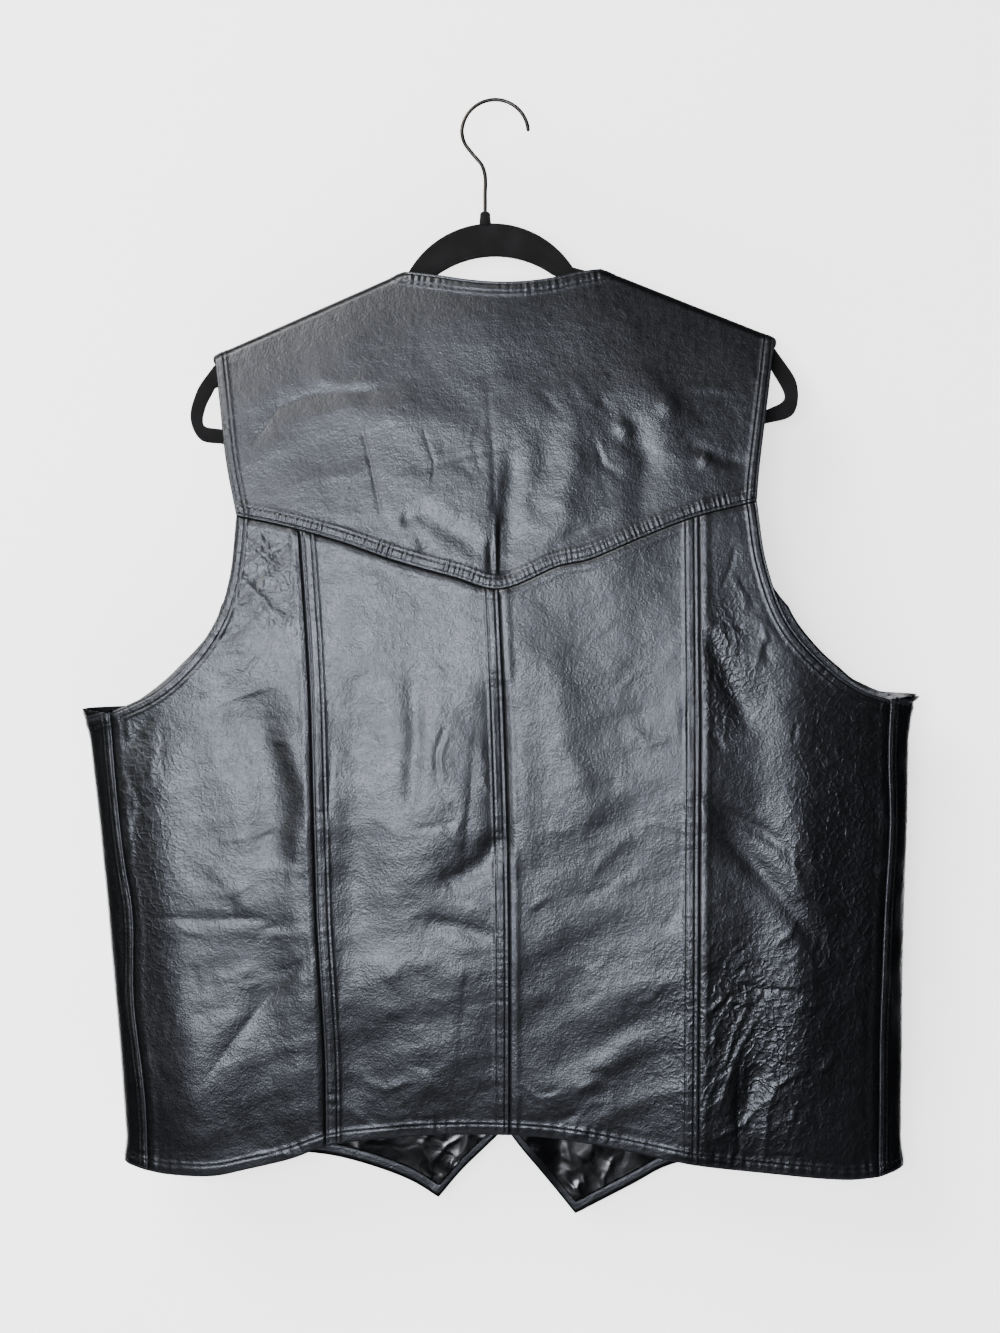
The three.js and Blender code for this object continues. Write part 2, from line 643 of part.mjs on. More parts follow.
// The right front dips where it passes under the left one.
function lapDrop(sideName, x, z) {
  if (sideName === "left") {
    return 0;
  }
  const inward = THREE.MathUtils.smoothstep(LAP_FADE.from - x, 0, LAP_FADE.from - LAP_FADE.to);
  const downward = THREE.MathUtils.smoothstep(LAP_FADE.top - z, 0, LAP_FADE.top - LAP_FADE.foot);
  return -LAP_DROP * inward * downward;
}

function frontPoint(sideName, side, at, offset) {
  const x = xFromRound(side, at.x, at.z);
  const face = at.x < 0 ? -1 : 1;
  return onForm(x, at.z, face, offset + lapDrop(sideName, x, at.z));
}

// A point between the points of a grid, at a row and column that need not be whole.
function gridPoint(grid, row, column) {
  const r = Math.min(Math.floor(row), grid.length - 2);
  const c = Math.min(Math.floor(column), grid[0].length - 2);
  const lower = grid[r][c].clone().lerp(grid[r][c + 1], column - c);
  const upper = grid[r + 1][c].clone().lerp(grid[r + 1][c + 1], column - c);
  return lower.lerp(upper, row - r);
}

// The lining follows the leather's own points, and stops short of the hem, the front edge and the sides.
function frontLining(outer, inner) {
  const lastColumn = outer[0].length - 1;
  const layer = (depth) => {
    const rows = [];
    for (let row = 0; row <= LINING_TOP_ROW; row += 1) {
      const points = [];
      for (let column = LINING_FIRST_COLUMN; column <= lastColumn; column += 1) {
        const turnedUp = HEM_TURN / inner[0][column].distanceTo(inner[1][column]);
        const r = row === 0 ? turnedUp : row;
        const turnedIn = FRONT_TURN / inner[row][lastColumn].distanceTo(inner[row][lastColumn - 1]);
        const c = column === lastColumn ? lastColumn - turnedIn : column;
        const inside = gridPoint(inner, r, c);
        const outside = gridPoint(outer, r, c);
        const inward = inside.clone().sub(outside).normalize();
        points.push(inside.addScaledVector(inward, depth));
      }
      rows.push(points);
    }
    return rows;
  };
  return wallBetween(layer(LINING_GAP), layer(LINING_GAP + LINING_WALL));
}

function front(sideName, side) {
  const edges = frontEdges(sideName, side);
  const layer = (offset) => gridOf(FRONT_UPS, FRONT_ACROSSES, (across, up) =>
    frontPoint(sideName, side, insideEdges(edges, across, up), offset));
  const outer = layer(0);
  const inner = layer(-LEATHER_WALL);
  addPiece(`front_${sideName}`, wallBetween(outer, inner), COLOURS.leather);
  addPiece(`lining_front_${sideName}`, frontLining(outer, inner), COLOURS.satin);
}

// Snap caps on the left front

function snaps() {
  const { first, last, count, seat, segments } = SNAP;
  const outline = SNAP_OUTLINE.map(({ radius, height }) => new THREE.Vector2(radius, height));
  for (let i = 0; i < count; i += 1) {
    const z = THREE.MathUtils.lerp(first, last, i / (count - 1));
    const base = onForm(CENTRE_FRONT, z, 1, SEAM_GAP);
    const cap = new THREE.LatheGeometry(outline, segments);
    cap.translate(base.x, base.y + seat, base.z);
    addPiece(`snap_${i + 1}`, closed(cap), COLOURS.snap);
  }
}

function closed(geometry) {
  geometry.deleteAttribute("normal");
  geometry.deleteAttribute("uv");
  const merged = mergeVertices(geometry, 1e-3);
  merged.computeVertexNormals();
  return merged;
}

// Hanger

// The hanger's two ends: outer edge from arm to bar, and inner edge the same way
const TIPS = {
  leftOuter: [
    { x: -206.5, z: -194.1 }, { x: -218.8, z: -212.3 }, { x: -223.6, z: -233.4 }, { x: -215.9, z: -248.6 },
    { x: -199.9, z: -251.5 },
  ],
  leftInner: [
    { x: -205.7, z: -210.8 }, { x: -213, z: -226.1 }, { x: -213.7, z: -237.7 }, { x: -201.4, z: -240.6 },
  ],
  rightOuter: [
    { x: 205.7, z: -181.8 }, { x: 221.7, z: -207.9 }, { x: 218.8, z: -229.7 }, { x: 197, z: -237 },
  ],
  rightInner: [
    { x: 202.8, z: -197 }, { x: 212.3, z: -218.1 }, { x: 198.5, z: -226.8 },
  ],
};

function vectors(rows) {
  return rows.map((row) => new THREE.Vector2(row.x, row.z));
}

function bowHeight(bow, x) {
  return bow.z + Math.sqrt(bow.radius ** 2 - (x - bow.x) ** 2);
}

function bowPoints(bow, count) {
  return steps(count).map((share) => {
    const x = THREE.MathUtils.lerp(bow.from, bow.to, share);
    return new THREE.Vector2(x, bowHeight(bow, x));
  });
}

function smoothPoints(rows, count) {
  return new THREE.SplineCurve(vectors(rows)).getPoints(count);
}

function hangerPlate() {
  const seat = (x) => new THREE.Vector2(x, shoulderHeight(x) - CLOTH_SEAT);
  const outline = [
    ...bowPoints(BOW, 14),
    ...PLATE_ARMS.right.map(seat),
    ...smoothPoints(TIPS.rightOuter, 9),
    ...smoothPoints([...TIPS.leftOuter].reverse(), 10),
    ...PLATE_ARMS.left.map(seat),
  ];
  const opening = [
    ...bowPoints(BOW_INNER, 10),
    ...smoothPoints(TIPS.leftInner, 8),
    ...smoothPoints([...TIPS.rightInner].reverse(), 8),
  ];
  const shape = new THREE.Shape(outline);
  shape.holes.push(new THREE.Path(opening));
  const plate = new THREE.ExtrudeGeometry(shape, {
    depth: PLATE - 2 * PLATE_BEVEL,
    bevelEnabled: true,
    bevelThickness: PLATE_BEVEL,
    bevelSize: PLATE_BEVEL,
    bevelOffset: -PLATE_BEVEL,
    bevelSegments: 2,
    steps: 1,
  });
  plate.translate(0, 0, PLATE_BEVEL - PLATE / 2);
  plate.rotateX(Math.PI / 2);
  addPiece("hanger", closed(plate), COLOURS.flock);
}

function collarFoot() {
  return bowHeight(BOW, COLLAR.x + COLLAR.radius) + SEAM_GAP;
}

function hangerCollar() {
  const { x, top, radius, bore, chamfer, segments } = COLLAR;
  const foot = collarFoot();
  const ring = [
    new THREE.Vector2(bore, foot), new THREE.Vector2(radius, foot), new THREE.Vector2(radius, top - chamfer),
    new THREE.Vector2(radius - chamfer, top), new THREE.Vector2(bore, top), new THREE.Vector2(bore, foot),
  ];
  const collar = new THREE.LatheGeometry(ring, segments);
  collar.rotateX(Math.PI / 2);
  collar.translate(x, 0, 0);
  addPiece("hanger_collar", closed(collar), COLOURS.flock);
}

function hangerHook() {
  const crown = WIRE_RADIUS - HOOK_RADIUS;
  const route = [];
  for (let degrees = HOOK_ARC.from; degrees <= HOOK_ARC.to; degrees += HOOK_ARC.step) {
    const angle = THREE.MathUtils.degToRad(degrees);
    route.push(new THREE.Vector3(HOOK_RADIUS * Math.cos(angle), 0, crown + HOOK_RADIUS * Math.sin(angle)));
  }
  for (const place of HOOK_NECK) {
    route.push(new THREE.Vector3(place.x, 0, place.z));
  }
  route.push(new THREE.Vector3(COLLAR.x, 0, collarFoot() + HOOK_SEAT));
  const section = new THREE.Shape().absarc(0, 0, WIRE_RADIUS, 0, 2 * Math.PI);
  const hook = new THREE.ExtrudeGeometry(section, {
    steps: 30,
    curveSegments: 5,
    bevelEnabled: false,
    extrudePath: new THREE.CatmullRomCurve3(route, false, "centripetal"),
  });
  addPiece("hanger_hook", closed(hook), COLOURS.steel);
}

yoke();
centrePanels();
sidePanels();
front("left", -1);
front("right", 1);
snaps();
hangerPlate();
hangerCollar();
hangerHook();

export default vest;
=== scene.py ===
"""A black leather vest of western cut, its back to the camera, on a slim flocked hanger.

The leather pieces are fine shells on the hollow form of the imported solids, with their seams, turned
edges, creases and puckers in the mesh, and stitches as meshes of their own. Sizes are in millimetres in
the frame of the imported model, and meshes are written in metres.
"""

import logging
import math
from dataclasses import dataclass, field
from enum import Enum
from typing import Callable

import bmesh
import bpy
import numpy as np
from bpy.types import Material, Mesh, Node, NodeSocket, NodeTree, Object
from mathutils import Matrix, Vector


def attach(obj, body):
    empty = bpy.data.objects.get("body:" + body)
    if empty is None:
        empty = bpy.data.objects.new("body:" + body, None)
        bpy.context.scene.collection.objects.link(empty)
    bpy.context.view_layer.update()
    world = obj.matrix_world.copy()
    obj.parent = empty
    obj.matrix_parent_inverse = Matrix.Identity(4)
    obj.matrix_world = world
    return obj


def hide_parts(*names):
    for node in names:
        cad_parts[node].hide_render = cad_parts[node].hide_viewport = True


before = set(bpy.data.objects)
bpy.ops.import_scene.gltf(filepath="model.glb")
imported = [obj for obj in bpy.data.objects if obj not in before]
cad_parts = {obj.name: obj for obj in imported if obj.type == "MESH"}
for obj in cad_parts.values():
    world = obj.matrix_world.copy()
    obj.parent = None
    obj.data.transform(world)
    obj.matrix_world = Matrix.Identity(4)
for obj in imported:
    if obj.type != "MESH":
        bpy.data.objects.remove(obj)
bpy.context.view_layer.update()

LOG = logging.getLogger("vest")
MM = 0.001
BODY = "root"

Array = np.ndarray
Line = Callable[[Array], Array]
Place = tuple[float, float]

HALVINGS = 40  # of a search for a place, past which it no longer moves

# Curves in a plane


def curve_through(points: tuple[Place, ...], steps: int = 40) -> Line:
    """Makes a smooth curve through places, as a function of the share of its length.

    Args:
        points: The places, in order.
        steps: How many straight steps lie between two places.

    Returns:
        A function from shares between 0 and 1 to places.
    """
    rows = np.asarray(points, float)
    rows = np.vstack([2 * rows[0] - rows[1], rows, 2 * rows[-1] - rows[-2]])
    t = np.linspace(0, 1, steps + 1)[:, None]
    pieces = []
    for p0, p1, p2, p3 in zip(rows, rows[1:], rows[2:], rows[3:]):
        before, here, after = (np.linalg.norm(b - a) ** 0.5 for a, b in ((p0, p1), (p1, p2), (p2, p3)))
        start = ((p1 - p0) / before - (p2 - p0) / (before + here) + (p2 - p1) / here) * here
        end = ((p2 - p1) / here - (p3 - p1) / (here + after) + (p3 - p2) / after) * here
        pieces.append(
            (2 * t**3 - 3 * t**2 + 1) * p1 + (t**3 - 2 * t**2 + t) * start
            + (3 * t**2 - 2 * t**3) * p2 + (t**3 - t**2) * end
        )
    return polyline(np.vstack([pieces[0], *(piece[1:] for piece in pieces[1:])]))


def polyline(rows: Array) -> Line:
    """Returns a line of straight stretches as a function of the share of its length."""
    steps = np.hypot(*np.diff(rows, axis=0).T)
    shares = np.concatenate([[0], np.cumsum(steps)]) / steps.sum()

    def at(share: Array) -> Array:
        """Returns the places at shares of the length."""
        share = np.clip(share, 0, 1)
        return np.stack([np.interp(share, shares, rows[:, k]) for k in range(2)], -1)

    return at


def stretch(line: Line, start: float, end: float) -> Line:
    """Returns the part of a line between two shares, run either way."""
    return lambda share: line(start + (end - start) * np.asarray(share, float))


def moved(line: Line, dx: float, dz: float) -> Line:
    """Returns a line moved sideways and up."""
    return lambda share: line(share) + np.array([dx, dz])


def chained(*stretches: tuple[Line, float]) -> Line:
    """Joins lines end to end.

    Args:
        stretches: Each line with the share of the whole at which it ends.

    Returns:
        One line that runs through them all.
    """

    def at(share: Array) -> Array:
        """Returns the places at shares of the whole."""
        share = np.asarray(share, float)
        out = np.empty(share.shape + (2,))
        rest = np.ones(share.shape, bool)
        start = 0.0
        for line, until in stretches:
            here = rest & (share <= until)
            out[here] = line((share[here] - start) / (until - start))
            rest &= ~here
            start = until
        out[rest] = stretches[-1][0](np.ones(rest.sum()))
        return out

    return at


def ending_at(line: Line, first: Array, last: Array) -> Line:
    """Returns a line with its ends moved to given places, the change fading along it."""
    start = first - line(np.array(0.0))
    end = last - line(np.array(1.0))

    def at(share: Array) -> Array:
        """Returns the places at shares of the line."""
        share = np.asarray(share, float)
        return line(share) + (1 - share)[..., None] * start + share[..., None] * end

    return at


def share_at_x(line: Line, x: float) -> float:
    """Finds where a line reaches x.

    Args:
        line: A line that runs from left to right.
        x: The place across.

    Returns:
        The share of the line there.
    """
    low, high = 0.0, 1.0
    for _ in range(HALVINGS):
        middle = (low + high) / 2
        low, high = (middle, high) if line(np.array(middle))[0] < x else (low, middle)
    return (low + high) / 2


def normals(rows: Array) -> Array:
    """Returns the unit normals, to the left of the way, at points of a line."""
    way = np.gradient(rows, axis=0)
    return np.stack([-way[:, 1], way[:, 0]], -1) / np.hypot(*way.T)[:, None]


def smoothstep(low: float, high: float, value: Array) -> Array:
    """Returns 0 below low, 1 above high and a smooth rise between them."""
    t = np.clip((value - low) / (high - low), 0, 1)
    return t * t * (3 - 2 * t)


def distance_to(places: Array, rows: Array) -> tuple[Array, Array]:
    """Measures places against a line of straight stretches.

    Args:
        places: The places, one a row.
        rows: The line's points, one a row.

    Returns:
        The distance of each place from the line, and how far along the line its nearest point lies.
    """
    best = np.full(len(places), np.inf)
    along = np.zeros(len(places))
    start = 0.0
    for a, b in zip(rows, rows[1:]):
        step = b - a
        length = math.hypot(*step)
        t = np.clip((places - a) @ step / max(length**2, 1e-12), 0, 1)
        away = np.hypot(*(places - a - t[:, None] * step).T)
        nearer = away < best
        best[nearer] = away[nearer]
        along[nearer] = start + t[nearer] * length
        start += length
    return best, along


def within(places: Array, outline: Array) -> Array:
    """Finds the places inside an outline, by counting the sides to their right.

    Args:
        places: The places, one a row.
        outline: The outline's points, one a row.

    Returns:
        Whether each place lies inside.
    """
    inside = np.zeros(len(places), bool)
    for a, b in zip(outline, np.roll(outline, -1, axis=0)):
        spans = (a[1] > places[:, 1]) != (b[1] > places[:, 1])
        crossing = a[0] + (places[:, 1] - a[1]) * (b[0] - a[0]) / (b[1] - a[1] if b[1] != a[1] else 1)
        inside ^= spans & (places[:, 0] < crossing)
    return inside


# The hollow form of the vest


@dataclass(frozen=True)
class Shoulder:
    """One shoulder's ridge, from its neck point to its tip."""

    neck_x: float
    neck_z: float
    tip_x: float
    tip_z: float


@dataclass(frozen=True)
class HollowForm:
    """The form that the cloth takes on the hanger: flat faces, round sides and rolled shoulders."""

    left: Shoulder = Shoulder(-67.6, -125, -205.7, -186)
    right: Shoulder = Shoulder(78.5, -122.9, 205, -173)
    ridge_radius: float = 6.6
    peak_round: float = 10
    back_depth: float = 26
    front_depth: float = 28
    depth_fade: float = 125
    ring_power: int = 6
    # Height, left and right side of the vest seen square on
    sides: tuple[tuple[float, float, float], ...] = (
        (-100, -350, 356), (-370, -350, 356), (-415, -325, 330), (-441, -304, 307.5), (-468, -297.5, 304),
        (-526, -290.8, 303.2), (-585, -285, 301.2), (-643, -280, 299.8), (-701, -274.8, 299.4),
        (-759, -270.8, 298.6), (-776, -271.9, 300), (-815, -273, 301),
    )

    def shoulder_height(self, x: Array) -> Array:
        """Returns the height of the shoulder line over x."""
        slopes = [
            s.neck_z + (x - s.neck_x) * (s.neck_z - s.tip_z) / (s.neck_x - s.tip_x)
            for s in (self.left, self.right)
        ]
        return -self.peak_round * np.logaddexp(-slopes[0] / self.peak_round, -slopes[1] / self.peak_round)

    def ring_at(self, z: Array) -> tuple[Array, Array]:
        """Returns the middle and the half-width of the ring at a height."""
        rows = np.array(self.sides)
        left = np.interp(-z, -rows[:, 0], rows[:, 1])
        right = np.interp(-z, -rows[:, 0], rows[:, 2])
        return (left + right) / 2, (right - left) / 2

    def depth_squared(self, x: Array, z: Array, face: Array) -> Array:
        """Returns the square of the form's half-depth."""
        full = np.where(face < 0, self.back_depth, self.front_depth)
        below = self.shoulder_height(x) - z
        growth = 1 - np.exp(-np.maximum(below, 0) / self.depth_fade)
        spread = self.ridge_radius + (full - self.ridge_radius) * growth
        turn = np.maximum(0, 1 - below / self.ridge_radius)
        middle, reach = self.ring_at(z)
        return spread**2 * (1 - turn**2) * (1 - np.abs((x - middle) / reach) ** self.ring_power)

    def depth(self, x: Array, z: Array, face: Array) -> Array:
        """Returns the form's half-depth."""
        return np.sqrt(np.maximum(0, self.depth_squared(x, z, face)))

    def point(self, x: Array, z: Array, face: Array, offset: Array,
              crease: Array) -> Array:
        """Places points on the form.

        Args:
            x: Places across.
            z: Heights.
            face: -1 on the back and 1 on the front.
            offset: How far out along the normal, everywhere alike.
            crease: The same for creases, which fade where the form turns round a side.

        Returns:
            The points, with x, y and z along the last axis.
        """
        y = face * self.depth(x, z, face)
        step = 0.01
        slope_x = self.depth_squared(x + step, z, face) - self.depth_squared(x - step, z, face)
        slope_z = self.depth_squared(x, z + step, face) - self.depth_squared(x, z - step, face)
        normal = np.stack([-slope_x / (2 * step), 2 * y, -slope_z / (2 * step)], -1)
        normal /= np.maximum(np.linalg.norm(normal, axis=-1, keepdims=True), 1e-12)
        lift = offset + crease * np.minimum(1, np.abs(y) / self.back_depth)
        return np.stack([x, y, z], -1) + normal * lift[..., None]

    def round_from_x(self, side: int, x: Array, z: Array, face: Array) -> Array:
        """Returns the distance round a side from its fold, below 0 on the back."""
        middle, reach = self.ring_at(z)
        return face * (reach - side * (x - middle) + self.depth(x, z, face))

    def x_from_round(self, side: int, distance: Array, z: Array) -> Array:
        """Returns the place across for a distance round a side from its fold."""
        middle, reach = self.ring_at(z)
        face = np.where(distance < 0, -1, 1)

        def place_at(angle: Array) -> Array:
            """Returns the place across at an angle of the ring."""
            past = -(angle - math.pi / 2)
            inside = np.cos(np.minimum(angle, math.pi / 2)) ** (2 / self.ring_power)
            return middle + side * reach * np.where(angle >= math.pi / 2, past, inside)

        low = np.zeros_like(z)
        high = np.full_like(z, math.pi / 2 + 0.2)
        for _ in range(HALVINGS):
            angle = (low + high) / 2
            short = np.abs(self.round_from_x(side, place_at(angle), z, face)) < np.abs(distance)
            low = np.where(short, angle, low)
            high = np.where(short, high, angle)
        return place_at((low + high) / 2)


FORM = HollowForm()

# The cut of the pieces, as places (x, z) seen square on

SIDE_LEFT = (
    (-280.6, -448.6), (-277.7, -487), (-270.4, -554.7), (-263.9, -596), (-263.2, -657), (-254.5, -730),
    (-253, -782.5),
)
SIDE_RIGHT = (
    (288.6, -439.1), (287, -482.7), (287.9, -530), (284, -600), (281, -680), (280.6, -787.4),
)
PRINCESS_LEFT = (
    (-142.1, -316), (-134.9, -421.7), (-130.9, -548), (-129.4, -598), (-123.6, -699), (-122.9, -763.4),
)
PRINCESS_RIGHT = ((148, -305), (148.7, -462), (148, -583), (147, -777.2))
CENTRE_BACK = ((2.6, -358.6), (6.9, -462), (10, -583), (10.2, -755.4))
ARM_BACK_LEFT = (
    (-205.7, -186), (-201.4, -221), (-196.3, -264.6), (-188.3, -305.3), (-193.4, -351.9), (-202.8, -381),
    (-222.5, -410), (-247.9, -432.6), (-280.6, -448.6),
)
ARM_BACK_RIGHT = (
    (205, -173), (202.1, -196.3), (192.7, -270.4), (190.5, -294.4), (197.7, -341), (214.5, -384.6),
    (246.5, -418.8), (271.2, -434), (288.6, -439.1),
)
ARM_AT_YOKE = 3  # the row of both tables above at which the yoke seam meets the armhole
ARM_FRONT_LEFT = (
    (-205.7, -186), (-190, -215), (-178, -250), (-174, -290), (-184, -330), (-205, -375), (-232, -412),
    (-262, -438), (-285, -449),
)
ARM_FRONT_RIGHT = (
    (205, -173), (193, -202), (183, -237), (180, -277), (190, -317), (211, -362), (238, -399), (268, -426),
    (293, -438),
)
BACK_NECK = (
    (-67.6, -125), (-42.2, -128.3), (-20.4, -131.6), (2.2, -133.4), (23.3, -132.7), (42.2, -130.1),
    (61.8, -125.8), (78.5, -122.9),
)
YOKE_SEAM = (
    (-188.3, -305.3), (-157, -311.9), (-112, -324.2), (-74.9, -337.3), (-30, -350), (2.6, -358.6),
    (47.3, -341.5), (68.3, -337), (100.3, -323.5), (143.9, -306.5), (190.5, -294.4),
)
BACK_HEM = (
    (-253, -782.5), (-239.9, -784.4), (-205, -785.2), (-182.5, -780.8), (-149, -772.8), (-122.9, -763.4),
    (-83.6, -758.3), (-44.3, -755.4), (10.2, -755.4), (53, -759), (91.6, -765.9), (147, -777.2),
    (204.3, -784.1), (258.8, -788.8), (280.6, -787.4),
)
HEM_LEFT = ((-262, -775), (-200, -774), (-136, -776.5), (-107.6, -781.5), (-64, -796.6), (-42, -809.8))
HEM_RIGHT = ((290, -776), (230, -774.5), (180, -777.5), (130.9, -785.2), (101.8, -800), (59.6, -821.8))
CUTAWAY_LEFT = ((-42, -809.8), (-24.7, -789.3), (0, -765.3), (17.6, -748))
CUTAWAY_RIGHT = ((59.6, -821.8), (33.4, -789.3), (13.8, -765.3), (-2.4, -740))
NECK_LEFT = (
    (-67.6, -125), (-59, -200), (-38, -300), (-10, -380), (17.6, -436), (17.6, -520), (17.6, -748),
)
NECK_RIGHT = (
    (78.5, -122.9), (71, -200), (52, -300), (25, -380), (-2.4, -436), (-2.4, -520), (-2.4, -740),
)

LEATHER_WALL = 2.0
HALF_GAP = -0.03  # sewn edges overlap by a hair, so that no light shows between the pieces
SHOULDER_DROP = 0.007  # keeps the two sides of a shoulder seam apart
UNDERARM_SHARE = 0.62  # of a side panel's outer edge, from the hem up, is side seam

# Creases


@dataclass(frozen=True)
class Crease:
    """A trough (lift below 0) or ridge (lift above 0) along a line of places."""

    line: tuple[Place, ...]
    lift: float
    width: float
    sharp: bool = False

    def add_to(self, heights: Array, places: Array) -> None:
        """Adds the crease to the heights of places.

        Args:
            heights: The heights, changed in place.
            places: The places, one a row.
        """
        rows = np.array(self.line, float)
        margin = self.width * (5 if self.sharp else 2.6)
        near = np.all((places > rows.min(0) - margin) & (places < rows.max(0) + margin), axis=1)
        if not near.any():
            return
        away, along = distance_to(places[near], rows)
        length = max(np.hypot(*np.diff(rows, axis=0).T).sum(), 1e-6)
        share = along / length
        taper = 0.35 + 0.65 * np.sqrt(np.clip(4 * share * (1 - share), 0, 1)) if length > self.width else 1
        ratio = away / self.width
        profile = np.exp(0.3 - np.sqrt(ratio**2 + 0.09)) if self.sharp else np.exp(-(ratio**2))
        heights[near] += self.lift * taper * profile


def bowed(centre: Array, angle: float, half: float, bow: float,
          random: np.random.Generator) -> tuple[Place, ...]:
    """Lays out one short line whose middle is pushed aside by chance.

    Args:
        centre: Its middle, before the push.
        angle: Its way, in radians.
        half: Half its length.
        bow: The usual push, as a share of that half.
        random: Where chance comes from.

    Returns:
        Its start, middle and end.
    """
    along = np.array([math.cos(angle), math.sin(angle)])
    aside = np.array([-along[1], along[0]]) * random.normal() * bow * half
    return tuple(centre - along * half), tuple(centre + aside), tuple(centre + along * half)


@dataclass(frozen=True)
class Wrinkles:
    """A patch of small creases that nobody would place one by one, thrown with a seed."""

    x: float
    z: float
    reach_x: float
    reach_z: float
    count: int
    length: float
    width: float
    lift: float
    lean: float  # degrees from +X towards +Z
    spread: float
    seed: int

    def creases(self) -> list[Crease]:
        """Throws the patch's creases."""
        random = np.random.default_rng(self.seed)
        made = []
        for _ in range(self.count):
            centre = np.array([self.x, self.z]) + random.uniform(-1, 1, 2) * (self.reach_x, self.reach_z)
            angle = math.radians(self.lean + random.normal() * self.spread)
            half = self.length * random.uniform(0.35, 1.2) / 2
            line = bowed(centre, angle, half, 0.22, random)
            lift = self.lift * random.uniform(0.4, 1.1) * random.choice([1, 1, -1])
            made.append(Crease(line, lift, self.width * random.uniform(0.7, 1.4), random.random() < 0.5))
        return made


BACK_FOLDS = tuple(Crease(*row) for row in (
    (((-290, -802), (290, -802)), -6.5, 88),  # the hem hangs in a little
    # Yoke
    (((-176, -262), (-150, -240), (-110, -226), (-60, -232), (-20, -240)), 1.5, 16),
    (((-176, -249), (-155, -226), (-121, -215), (-86, -214)), -0.9, 9),
    (((100, -200), (132, -250)), 2.2, 20),
    (((102, -230), (112, -268), (104, -305)), -1.5, 11),
    (((40, -238), (33, -285), (15, -335)), -1.4, 13),
    (((60, -232), (56, -270), (46, -312)), 0.7, 11),
    (((14, -262), (9, -300), (7.5, -350)), -2.0, 9),
    (((-60, -190), (20, -196), (100, -180)), -1.2, 22),
    # Left panels
    (((-180, -436), (-166, -478), (-157, -515), (-160, -560)), -3.0, 19),
    (((-152, -465), (-138, -505), (-142, -556)), 1.2, 9),
    (((-246, -480), (-236, -600), (-216, -765)), 1.9, 18),
    (((-160, -610), (-165, -768)), -2.0, 24),
    (((-238, -740), (-214, -745)), 4.0, 70),
    (((-140, -440), (-140, -775)), 2.0, 20),
    (((-100, -440), (-102, -775)), -1.7, 20),
    (((-250, -600), (-210, -597), (-166, -598)), -0.4, 5),
    (((-141, -628), (-178, -668), (-208, -710)), -0.9, 8),
    # Centre panels
    (((-60, -420), (-58, -470), (-62, -515)), -1.1, 7),
    (((-36, -572), (-11, -559), (7, -537)), -1.8, 9),
    (((3, -425), (5, -500), (6, -548)), -2.1, 10),
    (((38, -400), (52, -470), (70, -540)), 1.1, 14),
    (((11, -570), (54, -541), (127, -512)), -0.4, 10),
    (((-120, -512), (-20, -520)), 2.6, 50),
    (((-112, -655), (-24, -662)), 1.6, 36),
    (((-95, -640), (-60, -628), (-20, -640)), 0.8, 12),
    (((-100, -692), (-60, -674), (-20, -668)), -0.5, 10),
    (((-90, -745), (-60, -728), (-30, -700), (-4, -690)), 0.3, 8),
    (((-50, -598), (-20, -606), (0, -612)), -1.0, 7),
    (((16, -640), (60, -625), (110, -600)), -0.6, 12),
    (((96, -768), (124, -764)), 3.0, 48),
    (((150, -640), (150, -775)), 1.4, 45),
    (((60, -668), (98, -650), (134, -641)), 0.7, 12),
    (((40, -707), (80, -686), (110, -668)), -0.8, 11),
    (((25, -742), (69, -713), (98, -688), (138, -679)), 0.7, 10),
    (((48, -756), (90, -736), (136, -722)), 0.7, 9),
    (((148, -340), (148, -470), (148, -600), (147, -775)), 2.1, 25),
    # Right panels
    (((214, -400), (220, -520), (222, -640), (216, -770)), 3.6, 24),
    (((150, -512), (193, -534), (225, -559)), -1.3, 6),
    (((164, -534), (200, -572), (233, -616)), -1.8, 8),
    (((141, -440), (144, -478)), -1.1, 6),
    (((152, -388), (168, -420), (182, -456)), -1.6, 8),
    (((180, -748), (184, -725), (190, -705)), -2.2, 8),
))
